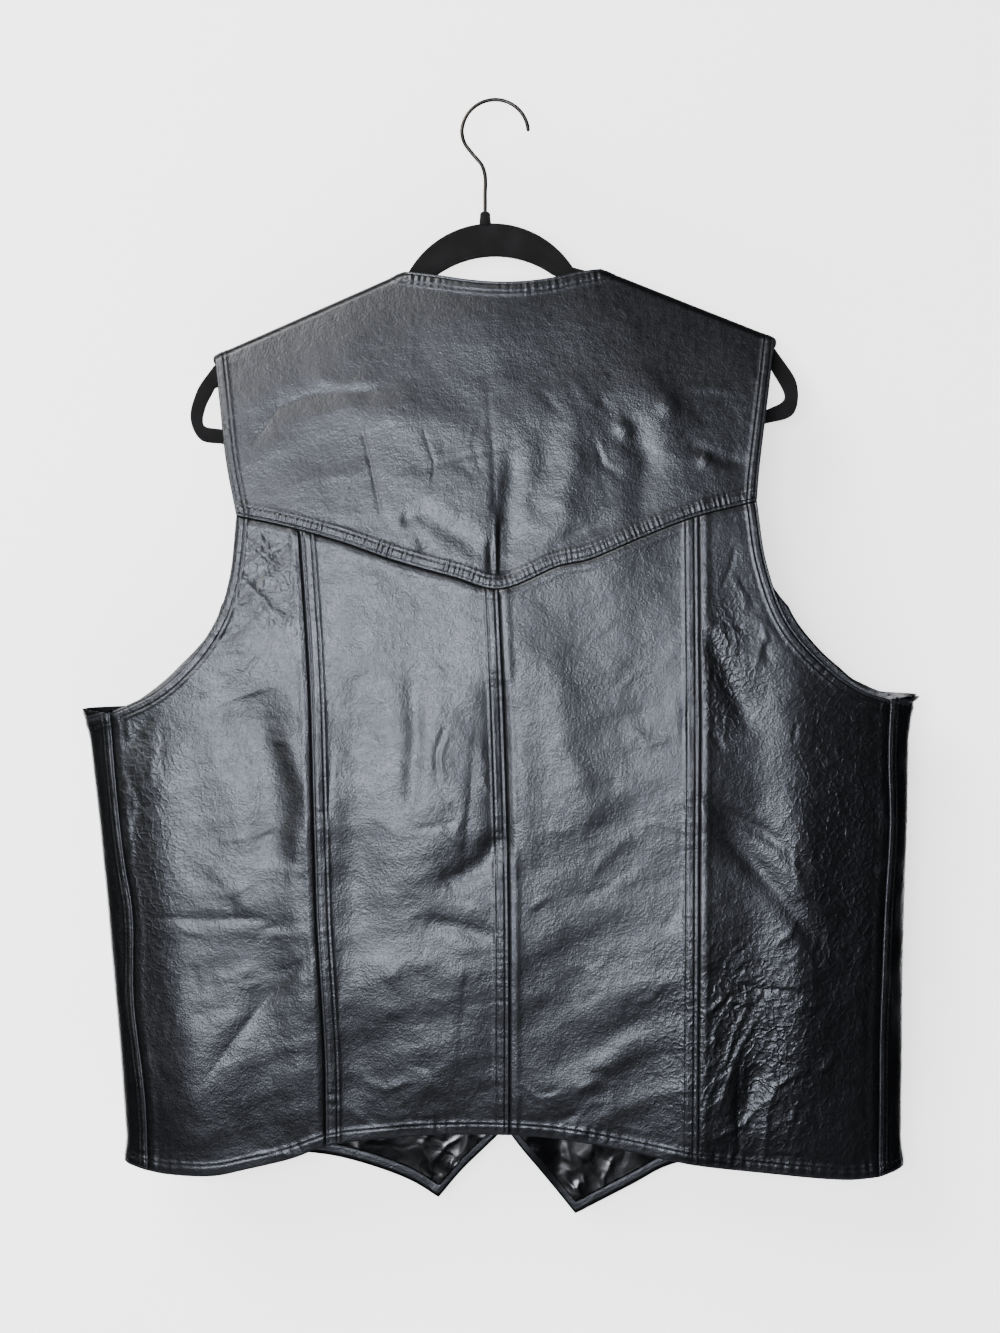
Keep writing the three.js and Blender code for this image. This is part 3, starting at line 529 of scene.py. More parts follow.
BACK_DETAIL = tuple(Crease(*row) for row in (
    # Yoke
    (((0.7, -306), (0.4, -348)), 0.9, 1.5, True),
    (((3.2, -312), (3, -347)), -0.8, 1.7, True),
    (((-3, -324), (-3, -346)), -0.9, 3),
    (((-98.9, -235), (-91.6, -263), (-82.9, -305)), -0.6, 1.3, True),
    (((-53, -242), (-44, -267), (-46, -281)), -0.45, 1.2, True),
    (((-56, -274), (-25, -263), (7, -256), (25, -248)), -0.4, 1.2, True),
    (((-176, -251), (-158, -226), (-137, -217), (-116, -215), (-88, -214)), -0.5, 1.4, True),
    (((-5, -214), (-1.5, -260), (0, -300)), -0.5, 2, True),
    (((-65, -304), (-64, -312)), -0.8, 4),
    (((-54, -322), (-52, -330)), -0.7, 4),
    (((125, -223.9), (127, -226)), 1.6, 6),
    (((92.3, -241.4), (95, -243)), 1.5, 5),
    (((150, -262), (156, -266)), 1.3, 5),
    (((-130, -205), (-108, -209), (-90, -207)), 0.8, 5),
    (((-200, -232), (-176, -222), (-150, -206)), 0.7, 7),
    (((-60, -300), (-30, -318), (-12, -330)), -0.8, 7),
    (((40, -330), (62, -318), (84, -309)), -0.8, 6),
    (((141, -253), (160, -262), (182, -268)), -0.8, 5),
    # Left panels
    (((-181.5, -321.6), (-168, -333), (-155, -346)), 0.9, 1.9, True),
    (((-185, -350), (-169, -365)), 0.8, 1.8, True),
    (((-176, -356), (-160, -338), (-150, -326)), -0.7, 1.8, True),
    (((-181.8, -453.6), (-152.7, -453.6)), -0.3, 2.2, True),
    (((-251.5, -452.2), (-266.1, -473.3)), -1.1, 4),
    (((-249.4, -597.6), (-210, -599), (-165.8, -597.6)), -0.35, 1.5, True),
    (((-141, -630), (-176, -669), (-208, -712)), -0.5, 1.8, True),
    # Centre panels
    (((-36.4, -458.7), (-42.9, -479.1), (-41.4, -499.4)), -0.55, 1.3, True),
    (((-33.5, -462), (-39.5, -480), (-38, -497)), 0.35, 1.5),
    # Right panels
    (((177.4, -700.8), (176, -740), (177.4, -773.5)), -0.7, 2.0, True),
    (((151.5, -667), (160, -660), (167.7, -654)), 0.7, 1.7, True),
    (((162, -737), (173, -701), (185, -678), (193.7, -665)), 0.8, 1.8, True),
    (((166, -705), (174, -680), (182, -663)), 0.7, 1.6, True),
    (((195, -773), (197.6, -737), (204, -719), (226, -706)), 0.8, 1.8, True),
    (((158.6, -757), (180.7, -747), (191, -734), (199, -728.6)), 0.8, 1.8, True),
    (((236.6, -709), (245.6, -697.5)), 0.8, 2.4, True),
    (((157.3, -634), (170, -642), (184.6, -648), (214.5, -649.5)), -0.8, 2.0, True),
    (((169, -657), (187, -658.5)), 0.7, 1.7, True),
    (((152, -690), (162, -684)), 0.7, 2.0, True),
    (((153, -728), (160, -716), (172, -708)), 0.6, 2.0, True),
))
BACK_WRINKLES = tuple(Wrinkles(*row) for row in (
    (190, -690, 42, 62, 46, 24, 1.5, 0.3, 55, 22, 11),
    (200, -640, 48, 26, 22, 18, 1.5, 0.26, 20, 30, 12),
    (215, -735, 55, 38, 24, 20, 1.6, 0.24, 65, 20, 13),
    (168, -640, 18, 30, 22, 12, 1.4, 0.34, 50, 35, 14),
    (165, -425, 16, 46, 22, 20, 1.8, 0.4, -60, 18, 15),
    (185, -380, 22, 40, 12, 26, 2.6, 0.4, -65, 20, 16),
    (-166, -352, 20, 30, 34, 18, 1.7, 0.5, 50, 45, 17),
    (-200, -395, 26, 26, 14, 24, 2.2, 0.45, 40, 25, 18),
    (-255, -520, 14, 60, 16, 26, 2.4, 0.45, 80, 14, 19),
    (-240, -700, 20, 70, 12, 30, 3.0, 0.4, 75, 20, 20),
    (-60, -560, 60, 150, 26, 30, 3.2, 0.3, -30, 40, 21),
    (80, -540, 55, 160, 26, 30, 3.2, 0.3, 30, 40, 22),
    (-100, -240, 90, 60, 24, 30, 3.0, 0.32, 20, 40, 23),
    (110, -250, 85, 60, 24, 28, 3.0, 0.34, -20, 40, 24),
    (-190, -560, 50, 100, 24, 26, 2.8, 0.32, 45, 40, 25),
    (240, -560, 34, 110, 26, 26, 2.2, 0.4, 80, 20, 26),
    (-275, -600, 12, 150, 30, 34, 2.2, 0.75, 90, 9, 27),
    (293, -600, 11, 150, 34, 34, 2.2, 0.8, 90, 9, 28),
    (70, -735, 70, 24, 14, 26, 2.6, 0.35, 10, 30, 29),
    (-70, -735, 60, 24, 12, 26, 2.6, 0.35, -10, 30, 30),
))
FRONT_FOLDS = tuple(Crease(*row) for row in (
    (((-170, -250), (-84, -330)), -2.2, 12),
    (((168, -240), (98, -330)), -2.0, 12),
    (((-210, -480), (-168, -516), (-120, -560)), -3.0, 14),
    (((220, -470), (178, -520), (130, -590)), -2.6, 13),
    (((-150, -640), (-70, -740)), 2.4, 20),
    (((170, -650), (90, -760)), 2.6, 20),
))
FRONT_DETAIL = tuple(Crease(*row) for row in (
    (((-120, -380), (-96, -410), (-60, -424)), -1.0, 5),
    (((120, -372), (90, -402), (64, -416)), -1.0, 5),
    (((-230, -560), (-190, -566), (-140, -560)), -0.9, 4),
    (((236, -600), (196, -612), (150, -604)), -0.9, 4),
    (((-200, -700), (-160, -690), (-120, -694)), -0.8, 4),
    (((60, -560), (40, -600), (34, -650)), -0.9, 5),
))
FRONT_WRINKLES = tuple(Wrinkles(*row) for row in (
    (-190, -640, 60, 90, 40, 26, 2.8, 0.42, 55, 30, 41),
    (200, -640, 60, 90, 40, 26, 2.8, 0.42, 125, 30, 42),
    (-150, -400, 60, 90, 30, 26, 2.8, 0.38, 40, 35, 43),
    (160, -400, 60, 90, 30, 26, 2.8, 0.38, 140, 35, 44),
    (-270, -600, 16, 150, 30, 34, 2.2, 0.7, 90, 9, 45),
    (288, -600, 14, 150, 30, 34, 2.2, 0.7, 90, 9, 46),
    (-80, -640, 60, 110, 26, 30, 3.0, 0.34, 30, 45, 47),
    (90, -640, 60, 110, 26, 30, 3.0, 0.34, 150, 45, 48),
))


@dataclass(frozen=True)
class Sway:
    """The slow unevenness of a hide, as a sum of long waves thrown with a seed."""

    seed: int
    lift: float
    shortest: float
    longest: float
    count: int = 14

    def heights(self, places: Array) -> Array:
        """Returns the waves' height at places, one a row."""
        random = np.random.default_rng(self.seed)
        total = np.zeros(len(places))
        for _ in range(self.count):
            angle = random.uniform(0, math.tau)
            wavelength = random.uniform(self.shortest, self.longest)
            phase = random.uniform(0, math.tau)
            way = np.array([math.cos(angle), math.sin(angle)]) * math.tau / wavelength
            total += np.sin(places @ way + phase) * wavelength / self.longest
        return total * self.lift / math.sqrt(self.count / 2)


class CreaseField:
    """All the creases of one face of the vest."""

    def __init__(self, folds: tuple[Crease, ...], detail: tuple[Crease, ...],
                 wrinkles: tuple[Wrinkles, ...], seed: int) -> None:
        """Keeps the face's tables.

        Args:
            folds: The largest folds, which both sides of the wall follow.
            detail: Smaller creases, given one by one.
            wrinkles: Patches of small creases.
            seed: For the slow waves.
        """
        self.folds = folds
        self.fine = [*detail, *(crease for patch in wrinkles for crease in patch.creases())]
        self.waves = (Sway(seed, 0.55, 55, 150), Sway(seed + 1, 0.1, 14, 34, 22))

    def large(self, places: Array) -> Array:
        """Returns the large folds' height at places, one a row."""
        heights = self.waves[0].heights(places)
        for crease in self.folds:
            crease.add_to(heights, places)
        return heights

    def small(self, places: Array) -> Array:
        """Returns the small creases' height at places, one a row."""
        heights = self.waves[1].heights(places)
        for crease in self.fine:
            crease.add_to(heights, places)
        return heights


BACK_FIELD = CreaseField(BACK_FOLDS, BACK_DETAIL, BACK_WRINKLES, 101)
FRONT_FIELD = CreaseField(FRONT_FOLDS, FRONT_DETAIL, FRONT_WRINKLES, 201)

# Seams and edges

EDGE_RADIUS = 1.5
PLY_LIFT = 0.5  # how far the doubled leather under the rows of stitching stands up
GROOVE_DEPTH = 0.5  # where a row of stitching draws the leather in
GROOVE_WIDTH = 0.62


def rolled(away: Array) -> Array:
    """Returns how far a rounded edge has rolled down, from 1 at the edge to 0 past its radius."""
    return 1 - np.sqrt(1 - np.clip(1 - away / EDGE_RADIUS, 0, 1) ** 2)


class EdgeKind(Enum):
    """How an edge of a leather piece is finished."""

    LAPPED = "folded under and stitched down over its neighbour"
    TUCKED = "runs under a lapped neighbour"
    TURNED = "a free edge, turned inside and stitched"
    JOINED = "a plain seam, pressed open"


@dataclass(frozen=True)
class Edge:
    """One edge of a leather piece, with its rows of topstitching at distances from it."""

    line: Line
    kind: EdgeKind
    rows: tuple[float, ...] = ()
    pucker: float = 0.14
    pitch: float = 7.0
    seed: int = 1
    reach: float = 24.0

    def points(self, step: float = 1.0) -> Array:
        """Returns points along the edge, about a step apart."""
        rough = self.line(np.linspace(0, 1, 200))
        length = np.hypot(*np.diff(rough, axis=0).T).sum()
        return self.line(np.linspace(0, 1, max(3, int(length / step))))

    def measure(self, places: Array) -> tuple[Array, Array, Array]:
        """Measures the places near the edge.

        Args:
            places: The places, one a row.

        Returns:
            Which places are near, their distance from the edge and how far along it they lie.
        """
        rows = self.points(3.0)
        near = np.all((places > rows.min(0) - self.reach) & (places < rows.max(0) + self.reach), axis=1)
        away, along = distance_to(places[near], rows)
        return near, away, along

    def ripple(self, along: Array) -> Array:
        """Returns the uneven wave of the puckers that the stitching draws, between about -1 and 1."""
        random = np.random.default_rng(self.seed)
        total = np.zeros_like(along)
        for _ in range(5):
            wavelength = self.pitch * random.uniform(0.75, 1.5)
            total += np.sin(along * math.tau / wavelength + random.uniform(0, math.tau))
        strength = 0.7 + 0.3 * np.sin(along / (self.pitch * 3.1) + random.uniform(0, math.tau))
        return total / 2.6 * strength

    def lift(self, away: Array, along: Array) -> Array:
        """Returns how far the outer face stands off the form near the edge.

        Args:
            away: Distances from the edge.
            along: Distances along the edge.

        Returns:
            The heights.
        """
        if self.kind is EdgeKind.TUCKED:
            return -0.9 * np.exp(-((away / 0.9) ** 2)) + 0.34 * np.exp(-(((away - 5.2) / 2.8) ** 2))
        roll = rolled(away)
        if self.kind is EdgeKind.JOINED:
            return -0.8 * roll
        last = self.rows[-1] if self.rows else 2.0
        height = -(0.85 if self.kind is EdgeKind.LAPPED else 1.0) * roll
        height += PLY_LIFT * (1 - smoothstep(last + 0.4, last + 3.6, away))
        for row in self.rows:
            height -= GROOVE_DEPTH * np.exp(-(((away - row) / GROOVE_WIDTH) ** 2))
        centre = sum(self.rows) / len(self.rows) if self.rows else 3.0
        reach = np.where(away < centre, centre * 0.9, 5.2)
        height += self.pucker * self.ripple(along) * np.exp(-(((away - centre) / reach) ** 2))
        return height

    def row_points(self, row: float, outline: Array, others: list["Edge"]) -> list[Array]:
        """Lays out one row of stitching.

        Args:
            row: The row's distance from the edge.
            outline: The piece's outline, once round.
            others: The piece's other edges, which the row stops short of.

        Returns:
            The places of each unbroken run of the row.
        """
        rows = self.points()
        normal = normals(rows)
        if within(rows + normal * row, outline).mean() < within(rows - normal * row, outline).mean():
            normal = -normal
        places = rows + normal * row
        keep = within(places, outline) & (distance_to(places, rows)[0] > row - 0.12)
        for other in others:
            margin = 0.7 if other.kind is EdgeKind.TUCKED else 1.2
            keep &= distance_to(places, other.points(3.0))[0] > margin
        starts = np.flatnonzero(np.diff(np.concatenate([[0], keep.astype(int), [0]])))
        return [places[a:b] for a, b in starts.reshape(-1, 2) if b - a > 3]


# Grids


@dataclass(frozen=True)
class Zone:
    """A stretch of a grid's rows or columns: its length in mm and the cell at its two ends."""

    length: float
    first: float
    last: float


def graded(stretches: tuple[tuple[float, tuple[Zone, ...]], ...], multiple: int = 1) -> Array:
    """Spaces the rows or columns of a grid.

    Args:
        stretches: Each share at which a stretch ends, with its zones from start to end.
        multiple: The number of cells in each stretch is a multiple of this.

    Returns:
        Shares from 0 to 1.
    """
    shares = [0.0]
    start = 0.0
    for until, zones in stretches:
        places = [0.0]
        for zone in zones:
            count = max(1, round(2 * zone.length / (zone.first + zone.last)))
            cells = np.linspace(zone.first, zone.last, count)
            places.extend(places[-1] + np.cumsum(cells * zone.length / cells.sum()))
        places = np.array(places) / places[-1]
        count = math.ceil((len(places) - 1) / multiple) * multiple
        even = np.interp(np.linspace(0, len(places) - 1, count + 1), np.arange(len(places)), places)
        shares.extend(start + even[1:] * (until - start))
        start = until
    return np.array(shares)


def patch(bottom: Line, top: Line, left: Line, right: Line, across: Array, up: Array) -> Array:
    """Fills four edges with a grid of places; left and right run from bottom to top.

    Args:
        bottom: The lower edge, from left to right.
        top: The upper edge, from left to right.
        left: The left edge.
        right: The right edge.
        across: Shares of the columns.
        up: Shares of the rows.

    Returns:
        The places, by row and column.
    """
    a = across[None, :, None]
    u = up[:, None, None]
    low, high = (line(np.array([0.0, 1.0])) for line in (bottom, top))
    corners = (
        (1 - a) * (1 - u) * low[0] + a * (1 - u) * low[1] + (1 - a) * u * high[0] + a * u * high[1]
    )
    between = (1 - u) * bottom(across)[None] + u * top(across)[None]
    return between + (1 - a) * left(up)[:, None] + a * right(up)[:, None] - corners


def looked_up(table: Array, across: Array, up: Array) -> Array:
    """Reads places between those of an even grid.

    Args:
        table: The grid's places, by row and column.
        across: Shares of its columns.
        up: Shares of its rows.

    Returns:
        The places.
    """
    rows, columns = table.shape[:2]
    a_place = np.clip(across * (columns - 1), 0, columns - 1.001)
    u_place = np.clip(up * (rows - 1), 0, rows - 1.001)
    a0, u0 = a_place.astype(int), u_place.astype(int)
    a_rest, u_rest = (a_place - a0)[..., None], (u_place - u0)[..., None]
    lower = table[u0, a0] * (1 - a_rest) + table[u0, a0 + 1] * a_rest
    upper = table[u0 + 1, a0] * (1 - a_rest) + table[u0 + 1, a0 + 1] * a_rest
    return lower * (1 - u_rest) + upper * u_rest


def shell_object(name: str, outer: Array, inner: Array, step: int,
                 attributes: dict[str, tuple[Array, Array]],
                 material: Material) -> Object:
    """Makes a closed wall from two grids of points.

    Args:
        name: The object's name.
        outer: The outer points in mm, by row and column.
        inner: The inner points in mm, by row and column, at every step-th row and column of the outer ones.
        step: How many outer cells one inner cell spans.
        attributes: Named values of the outer and the inner points.
        material: The finish.

    Returns:
        The object.
    """
    rows, columns = outer.shape[:2]
    in_rows, in_columns = inner.shape[:2]
    out_at = np.arange(rows * columns).reshape(rows, columns)
    in_at = rows * columns + np.arange(in_rows * in_columns).reshape(in_rows, in_columns)

    def quads(at: Array) -> Array:
        """Returns the cells of a grid of indices."""
        return np.stack([at[:-1, :-1], at[:-1, 1:], at[1:, 1:], at[1:, :-1]], -1).reshape(-1, 4)

    def rim(at: Array) -> Array:
        """Returns the indices round a grid, once round."""
        return np.concatenate([at[0, :-1], at[:-1, -1], at[-1, :0:-1], at[:0:-1, 0]])

    faces = quads(out_at).tolist() + quads(in_at)[:, ::-1].tolist()
    outside, inside = rim(out_at), rim(in_at)
    for i in range(len(inside)):
        run = outside[np.arange((i + 1) * step, i * step - 1, -1) % len(outside)]
        faces.append([*run.tolist(), int(inside[i]), int(inside[(i + 1) % len(inside)])])
    across = outer[:-1, 1:] - outer[:-1, :-1]
    upward = outer[1:, :-1] - outer[:-1, :-1]
    middle = (rows // 2) // step * step, (columns // 2) // step * step
    outward = outer[middle] - inner[middle[0] // step, middle[1] // step]
    if np.dot(np.cross(across[middle], upward[middle]), outward) < 0:
        faces = [face[::-1] for face in faces]
    points = np.vstack([outer.reshape(-1, 3), inner.reshape(-1, 3)]) * MM
    mesh = bpy.data.meshes.new(name)
    mesh.from_pydata(points.tolist(), [], faces)
    for label, (out_values, in_values) in attributes.items():
        layer = mesh.attributes.new(label, "FLOAT", "POINT")
        values = np.concatenate([out_values.ravel(), in_values.ravel()]).astype(np.float32)
        layer.data.foreach_set("value", values)
    return finished(name, mesh, material)


def finished(name: str, mesh: Mesh, material: Material) -> Object:
    """Links a smooth-shaded mesh with its material as an object at the origin."""
    mesh.polygons.foreach_set("use_smooth", [True] * len(mesh.polygons))
    mesh.materials.clear()
    mesh.materials.append(material)
    mesh.update()
    made = bpy.data.objects.new(name, mesh)
    bpy.context.scene.collection.objects.link(made)
    return made


# Finishes


def linear(colour: str) -> tuple[float, float, float, float]:
    """Turns an sRGB hex colour into linear red, green, blue and alpha."""
    parts = [int(colour[i:i + 2], 16) / 255 for i in (1, 3, 5)]
    return (*(c / 12.92 if c <= 0.04045 else ((c + 0.055) / 1.055) ** 2.4 for c in parts), 1.0)


def add_node(tree: NodeTree, kind: str, inputs: dict | None = None,
             **settings: object) -> Node:
    """Adds a node.

    Args:
        tree: The tree that it goes into.
        kind: The node's type.
        inputs: Values for its inputs, by name or number; a socket is linked.
        settings: Values for its own settings.

    Returns:
        The node.
    """
    made = tree.nodes.new(kind)
    for key, value in settings.items():
        setattr(made, key, value)
    for key, value in (inputs or {}).items():
        if isinstance(value, NodeSocket):
            tree.links.new(value, made.inputs[key])
        else:
            made.inputs[key].default_value = value
    return made


def new_material(name: str) -> tuple[Material, NodeTree, NodeSocket]:
    """Makes an empty material.

    Args:
        name: Its name.

    Returns:
        The material, its tree and the socket of the object's own coordinates.
    """
    made = bpy.data.materials.new(name)
    made.use_nodes = True
    made.node_tree.nodes.clear()
    place = add_node(made.node_tree, "ShaderNodeTexCoord").outputs["Object"]
    return made, made.node_tree, place


def per_mm(size: float) -> float:
    """Returns a texture's scale for a pattern whose cells are this many mm wide."""
    return 1 / (size * MM)


class Finish:
    """What every finish has: a name, and a tree of nodes on the object's own coordinates."""

    name: str

    def shade(self, tree: NodeTree, place: NodeSocket) -> Node:
        """Adds the finish's nodes and returns its shader."""
        raise NotImplementedError

    def build(self) -> Material:
        """Builds the material."""
        made, tree, place = new_material(self.name)
        add_node(tree, "ShaderNodeOutputMaterial", {"Surface": self.shade(tree, place).outputs["BSDF"]})
        return made


@dataclass(frozen=True)
class Leather(Finish):
    """Full-grain cowhide, drum-dyed black with a thin pigmented top coat: dark, with a broad grey sheen.

    The grain of such a hide is about 0.6 mm wide, and is drawn at 1.5 mm so that it shows in the render.
    """

    name: str = "full_grain_black_cowhide"
    dark: str = "#030304"
    light: str = "#08090a"
    # painted highlight mixed with real rubbed wear: the colour of fold edges, seam welts and crease tops
    rubbed: str = "#26282d"
    sheen: str = "#f3f6ff"
    flesh: str = "#202124"
    grain: float = 1.5
    crackle: float = 6.0
    blotch: float = 48.0
    mottle: float = 7.0
    bend: float = 14.0
    top_coat: float = 4.0

    def shade(self, tree: NodeTree, place: NodeSocket) -> Node:
        """Adds the finish's nodes and returns its shader."""
        wear = add_node(tree, "ShaderNodeAttribute", attribute_name="wear").outputs["Fac"]
        inside = add_node(tree, "ShaderNodeAttribute", attribute_name="inside").outputs["Fac"]
        worn = add_node(tree, "ShaderNodeAttribute", attribute_name="crackled").outputs["Fac"]
        cloud = add_node(tree, "ShaderNodeTexNoise", {
            "Vector": place, "Scale": per_mm(self.blotch), "Detail": 5.0, "Roughness": 0.62,
        }).outputs["Fac"]
        mottle = add_node(tree, "ShaderNodeTexNoise", {
            "Vector": place, "Scale": per_mm(self.mottle), "Detail": 3.0, "Roughness": 0.6,
        }).outputs["Fac"]
        pebbles = add_node(tree, "ShaderNodeTexVoronoi", {
            "Vector": place, "Scale": per_mm(self.grain), "Randomness": 1.0,
        }, feature="F1").outputs["Distance"]
        bent = add_node(tree, "ShaderNodeMixRGB", {
            "Fac": 0.012, "Color1": place,
            "Color2": add_node(tree, "ShaderNodeTexNoise", {
                "Vector": place, "Scale": per_mm(self.bend), "Detail": 3.0,
            }).outputs["Color"],
        }).outputs["Color"]
        network = add_node(tree, "ShaderNodeTexVoronoi", {
            "Vector": bent, "Scale": per_mm(self.crackle), "Randomness": 1.0,
        }, feature="DISTANCE_TO_EDGE").outputs["Distance"]
        lines = add_node(tree, "ShaderNodeMapRange", {
            "Value": network, "From Min": 0.0, "From Max": 0.22, "To Min": 1.0, "To Max": 0.0,
        }, clamp=True).outputs["Result"]
        crackle_height = add_node(tree, "ShaderNodeMath", {0: lines, 1: add_node(tree, "ShaderNodeMapRange", {
            "Value": worn, "From Min": 0, "From Max": 1, "To Min": 0.06, "To Max": 1.0,
        }, clamp=True).outputs["Result"]},
                                  operation="MULTIPLY").outputs[0]
        grain_bump = add_node(tree, "ShaderNodeBump", {
            "Strength": 0.35, "Distance": 0.00022, "Height": pebbles,
        }).outputs["Normal"]
        mottle_bump = add_node(tree, "ShaderNodeBump", {
            "Strength": 0.45, "Distance": 0.0007, "Height": mottle, "Normal": grain_bump,
        }).outputs["Normal"]
        normal = add_node(tree, "ShaderNodeBump", {
            "Strength": 0.5, "Distance": 0.0006, "Height": crackle_height, "Normal": mottle_bump,
        }).outputs["Normal"]
        finish = add_node(tree, "ShaderNodeTexNoise", {
            "Vector": place, "Scale": per_mm(self.top_coat), "Detail": 6.0, "Roughness": 0.75,
        }).outputs["Fac"]
        hide = add_node(tree, "ShaderNodeMixRGB", {
            "Fac": add_node(tree, "ShaderNodeMapRange", {
                "Value": cloud, "From Min": 0.35, "From Max": 0.7, "To Min": 0.0, "To Max": 1.0,
            }, clamp=True).outputs["Result"], "Color1": linear(self.dark), "Color2": linear(self.light),
        }).outputs["Color"]
        # Lighter along fold edges, seam welts and crease tops: partly rubbed wear, partly painted highlight.
        rubbed = add_node(tree, "ShaderNodeMixRGB", {
            "Fac": wear, "Color1": hide, "Color2": linear(self.rubbed),
        }).outputs["Color"]
        colour = add_node(tree, "ShaderNodeMixRGB", {
            "Fac": inside, "Color1": rubbed, "Color2": linear(self.flesh),
        }).outputs["Color"]
        gloss = add_node(tree, "ShaderNodeMath", {
            0: add_node(tree, "ShaderNodeMapRange", {
                "Value": cloud, "From Min": 0.3, "From Max": 0.75, "To Min": 0.38, "To Max": 0.32,
            }, clamp=True).outputs["Result"], 1: add_node(tree, "ShaderNodeMapRange", {
                "Value": finish, "From Min": 0.3, "From Max": 0.7, "To Min": 0.05, "To Max": -0.05,
            }, clamp=True).outputs["Result"],
        }, operation="ADD").outputs[0]
        roughness = add_node(tree, "ShaderNodeMath", {
            0: gloss, 1: add_node(tree, "ShaderNodeMapRange", {
                "Value": inside, "From Min": 0, "From Max": 1, "To Min": 0.0, "To Max": 0.45,
            }, clamp=True).outputs["Result"],
        }, operation="ADD").outputs[0]
        return add_node(tree, "ShaderNodeBsdfPrincipled", {
            "Base Color": colour, "Roughness": roughness, "IOR": 1.5, "Normal": normal,
            "Specular IOR Level": 0.54, "Specular Tint": linear(self.sheen),
        })


@dataclass(frozen=True)
class Satin(Finish):
    """Black acetate satin, woven with long floats: sharp streaky highlights along its crinkles."""

    name: str = "black_acetate_satin"
    colour: str = "#040405"
    # painted sheen: the raised parts of the crinkles are coloured lighter
    painted_crinkle_sheen: str = "#09090b"
    crinkle: float = 16.0
    thread: float = 0.9  # drawn coarse; the real threads lie 0.1 mm apart

    def shade(self, tree: NodeTree, place: NodeSocket) -> Node:
        """Adds the finish's nodes and returns its shader."""
        crinkle = add_node(tree, "ShaderNodeTexNoise", {
            "Vector": place, "Scale": per_mm(self.crinkle), "Detail": 1.5, "Distortion": 0.8,
        }).outputs["Fac"]
        weave = add_node(tree, "ShaderNodeTexWave", {
            "Vector": place, "Scale": per_mm(self.thread) / 20, "Distortion": 0.6,
        }, bands_direction="DIAGONAL").outputs["Fac"]
        fine = add_node(tree, "ShaderNodeBump", {
            "Strength": 0.15, "Distance": 0.0001, "Height": weave,
        }).outputs["Normal"]
        normal = add_node(tree, "ShaderNodeBump", {
            "Strength": 0.5, "Distance": 0.0016, "Height": crinkle, "Normal": fine,
        }).outputs["Normal"]
        return add_node(tree, "ShaderNodeBsdfPrincipled", {
            # The raised parts of the crinkles are painted lighter, as a painted sheen.
            "Base Color": add_node(tree, "ShaderNodeMixRGB", {
                "Fac": crinkle, "Color1": linear(self.colour), "Color2": linear(self.painted_crinkle_sheen),
            }).outputs["Color"],
            "Roughness": add_node(tree, "ShaderNodeMapRange", {
                "Value": crinkle, "From Min": 0.3, "From Max": 0.7, "To Min": 0.2, "To Max": 0.32,
            }, clamp=True).outputs["Result"], "Normal": normal,
        })


@dataclass(frozen=True)
class Flock(Finish):
    """Nylon flock on a moulded hanger: short upright fibres that swallow light, paler at a glance."""

    name: str = "black_nylon_flock"
    colour: str = "#070708"
    rubbed: str = "#101012"
    rub: float = 22.0
    fibre: float = 0.6  # clumps of fibres; one fibre is 0.02 mm wide

    def shade(self, tree: NodeTree, place: NodeSocket) -> Node:
        """Adds the finish's nodes and returns its shader."""
        fibres = add_node(tree, "ShaderNodeTexNoise", {
            "Vector": place, "Scale": per_mm(self.fibre), "Detail": 2.0,
        }).outputs["Fac"]
        rubbed = add_node(tree, "ShaderNodeTexNoise", {
            "Vector": place, "Scale": per_mm(self.rub), "Detail": 2.0,
        }).outputs["Fac"]
        normal = add_node(tree, "ShaderNodeBump", {
            "Strength": 0.6, "Distance": 0.0003, "Height": fibres,
        }).outputs["Normal"]
        return add_node(tree, "ShaderNodeBsdfPrincipled", {
            "Base Color": add_node(tree, "ShaderNodeMixRGB", {
                "Fac": add_node(tree, "ShaderNodeMapRange", {
                    "Value": rubbed, "From Min": 0.4, "From Max": 0.75, "To Min": 0, "To Max": 1,
                }, clamp=True).outputs["Result"], "Color1": linear(self.colour),
                "Color2": linear(self.rubbed),
            }).outputs["Color"],
            "Roughness": add_node(tree, "ShaderNodeMapRange", {
                "Value": fibres, "From Min": 0.3, "From Max": 0.7, "To Min": 0.85, "To Max": 1.0,
            }, clamp=True).outputs["Result"], "Normal": normal,
            "Specular IOR Level": 0.2, "Sheen Weight": 0.12, "Sheen Roughness": 0.45,
        })


@dataclass(frozen=True)
class Steel(Finish):
    """Drawn steel wire with a dark nickel plate, lightly streaked along its length."""

    name: str = "dark_nickel_plated_steel"
    colour: str = "#423e3c"
    dull: str = "#34312f"
    streak: float = 1.2

    def shade(self, tree: NodeTree, place: NodeSocket) -> Node:
        """Adds the finish's nodes and returns its shader."""
        streaks = add_node(tree, "ShaderNodeTexNoise", {
            "Vector": place, "Scale": per_mm(self.streak), "Detail": 2.0,
        }).outputs["Fac"]
        normal = add_node(tree, "ShaderNodeBump", {
            "Strength": 0.12, "Distance": 0.0001, "Height": streaks,
        }).outputs["Normal"]
        return add_node(tree, "ShaderNodeBsdfPrincipled", {
            "Base Color": add_node(tree, "ShaderNodeMixRGB", {
                "Fac": streaks, "Color1": linear(self.colour), "Color2": linear(self.dull),
            }).outputs["Color"],
            "Metallic": 1.0, "Roughness": add_node(tree, "ShaderNodeMapRange", {
                "Value": streaks, "From Min": 0.3, "From Max": 0.7, "To Min": 0.2, "To Max": 0.32,
            }, clamp=True).outputs["Result"], "Normal": normal,
        })


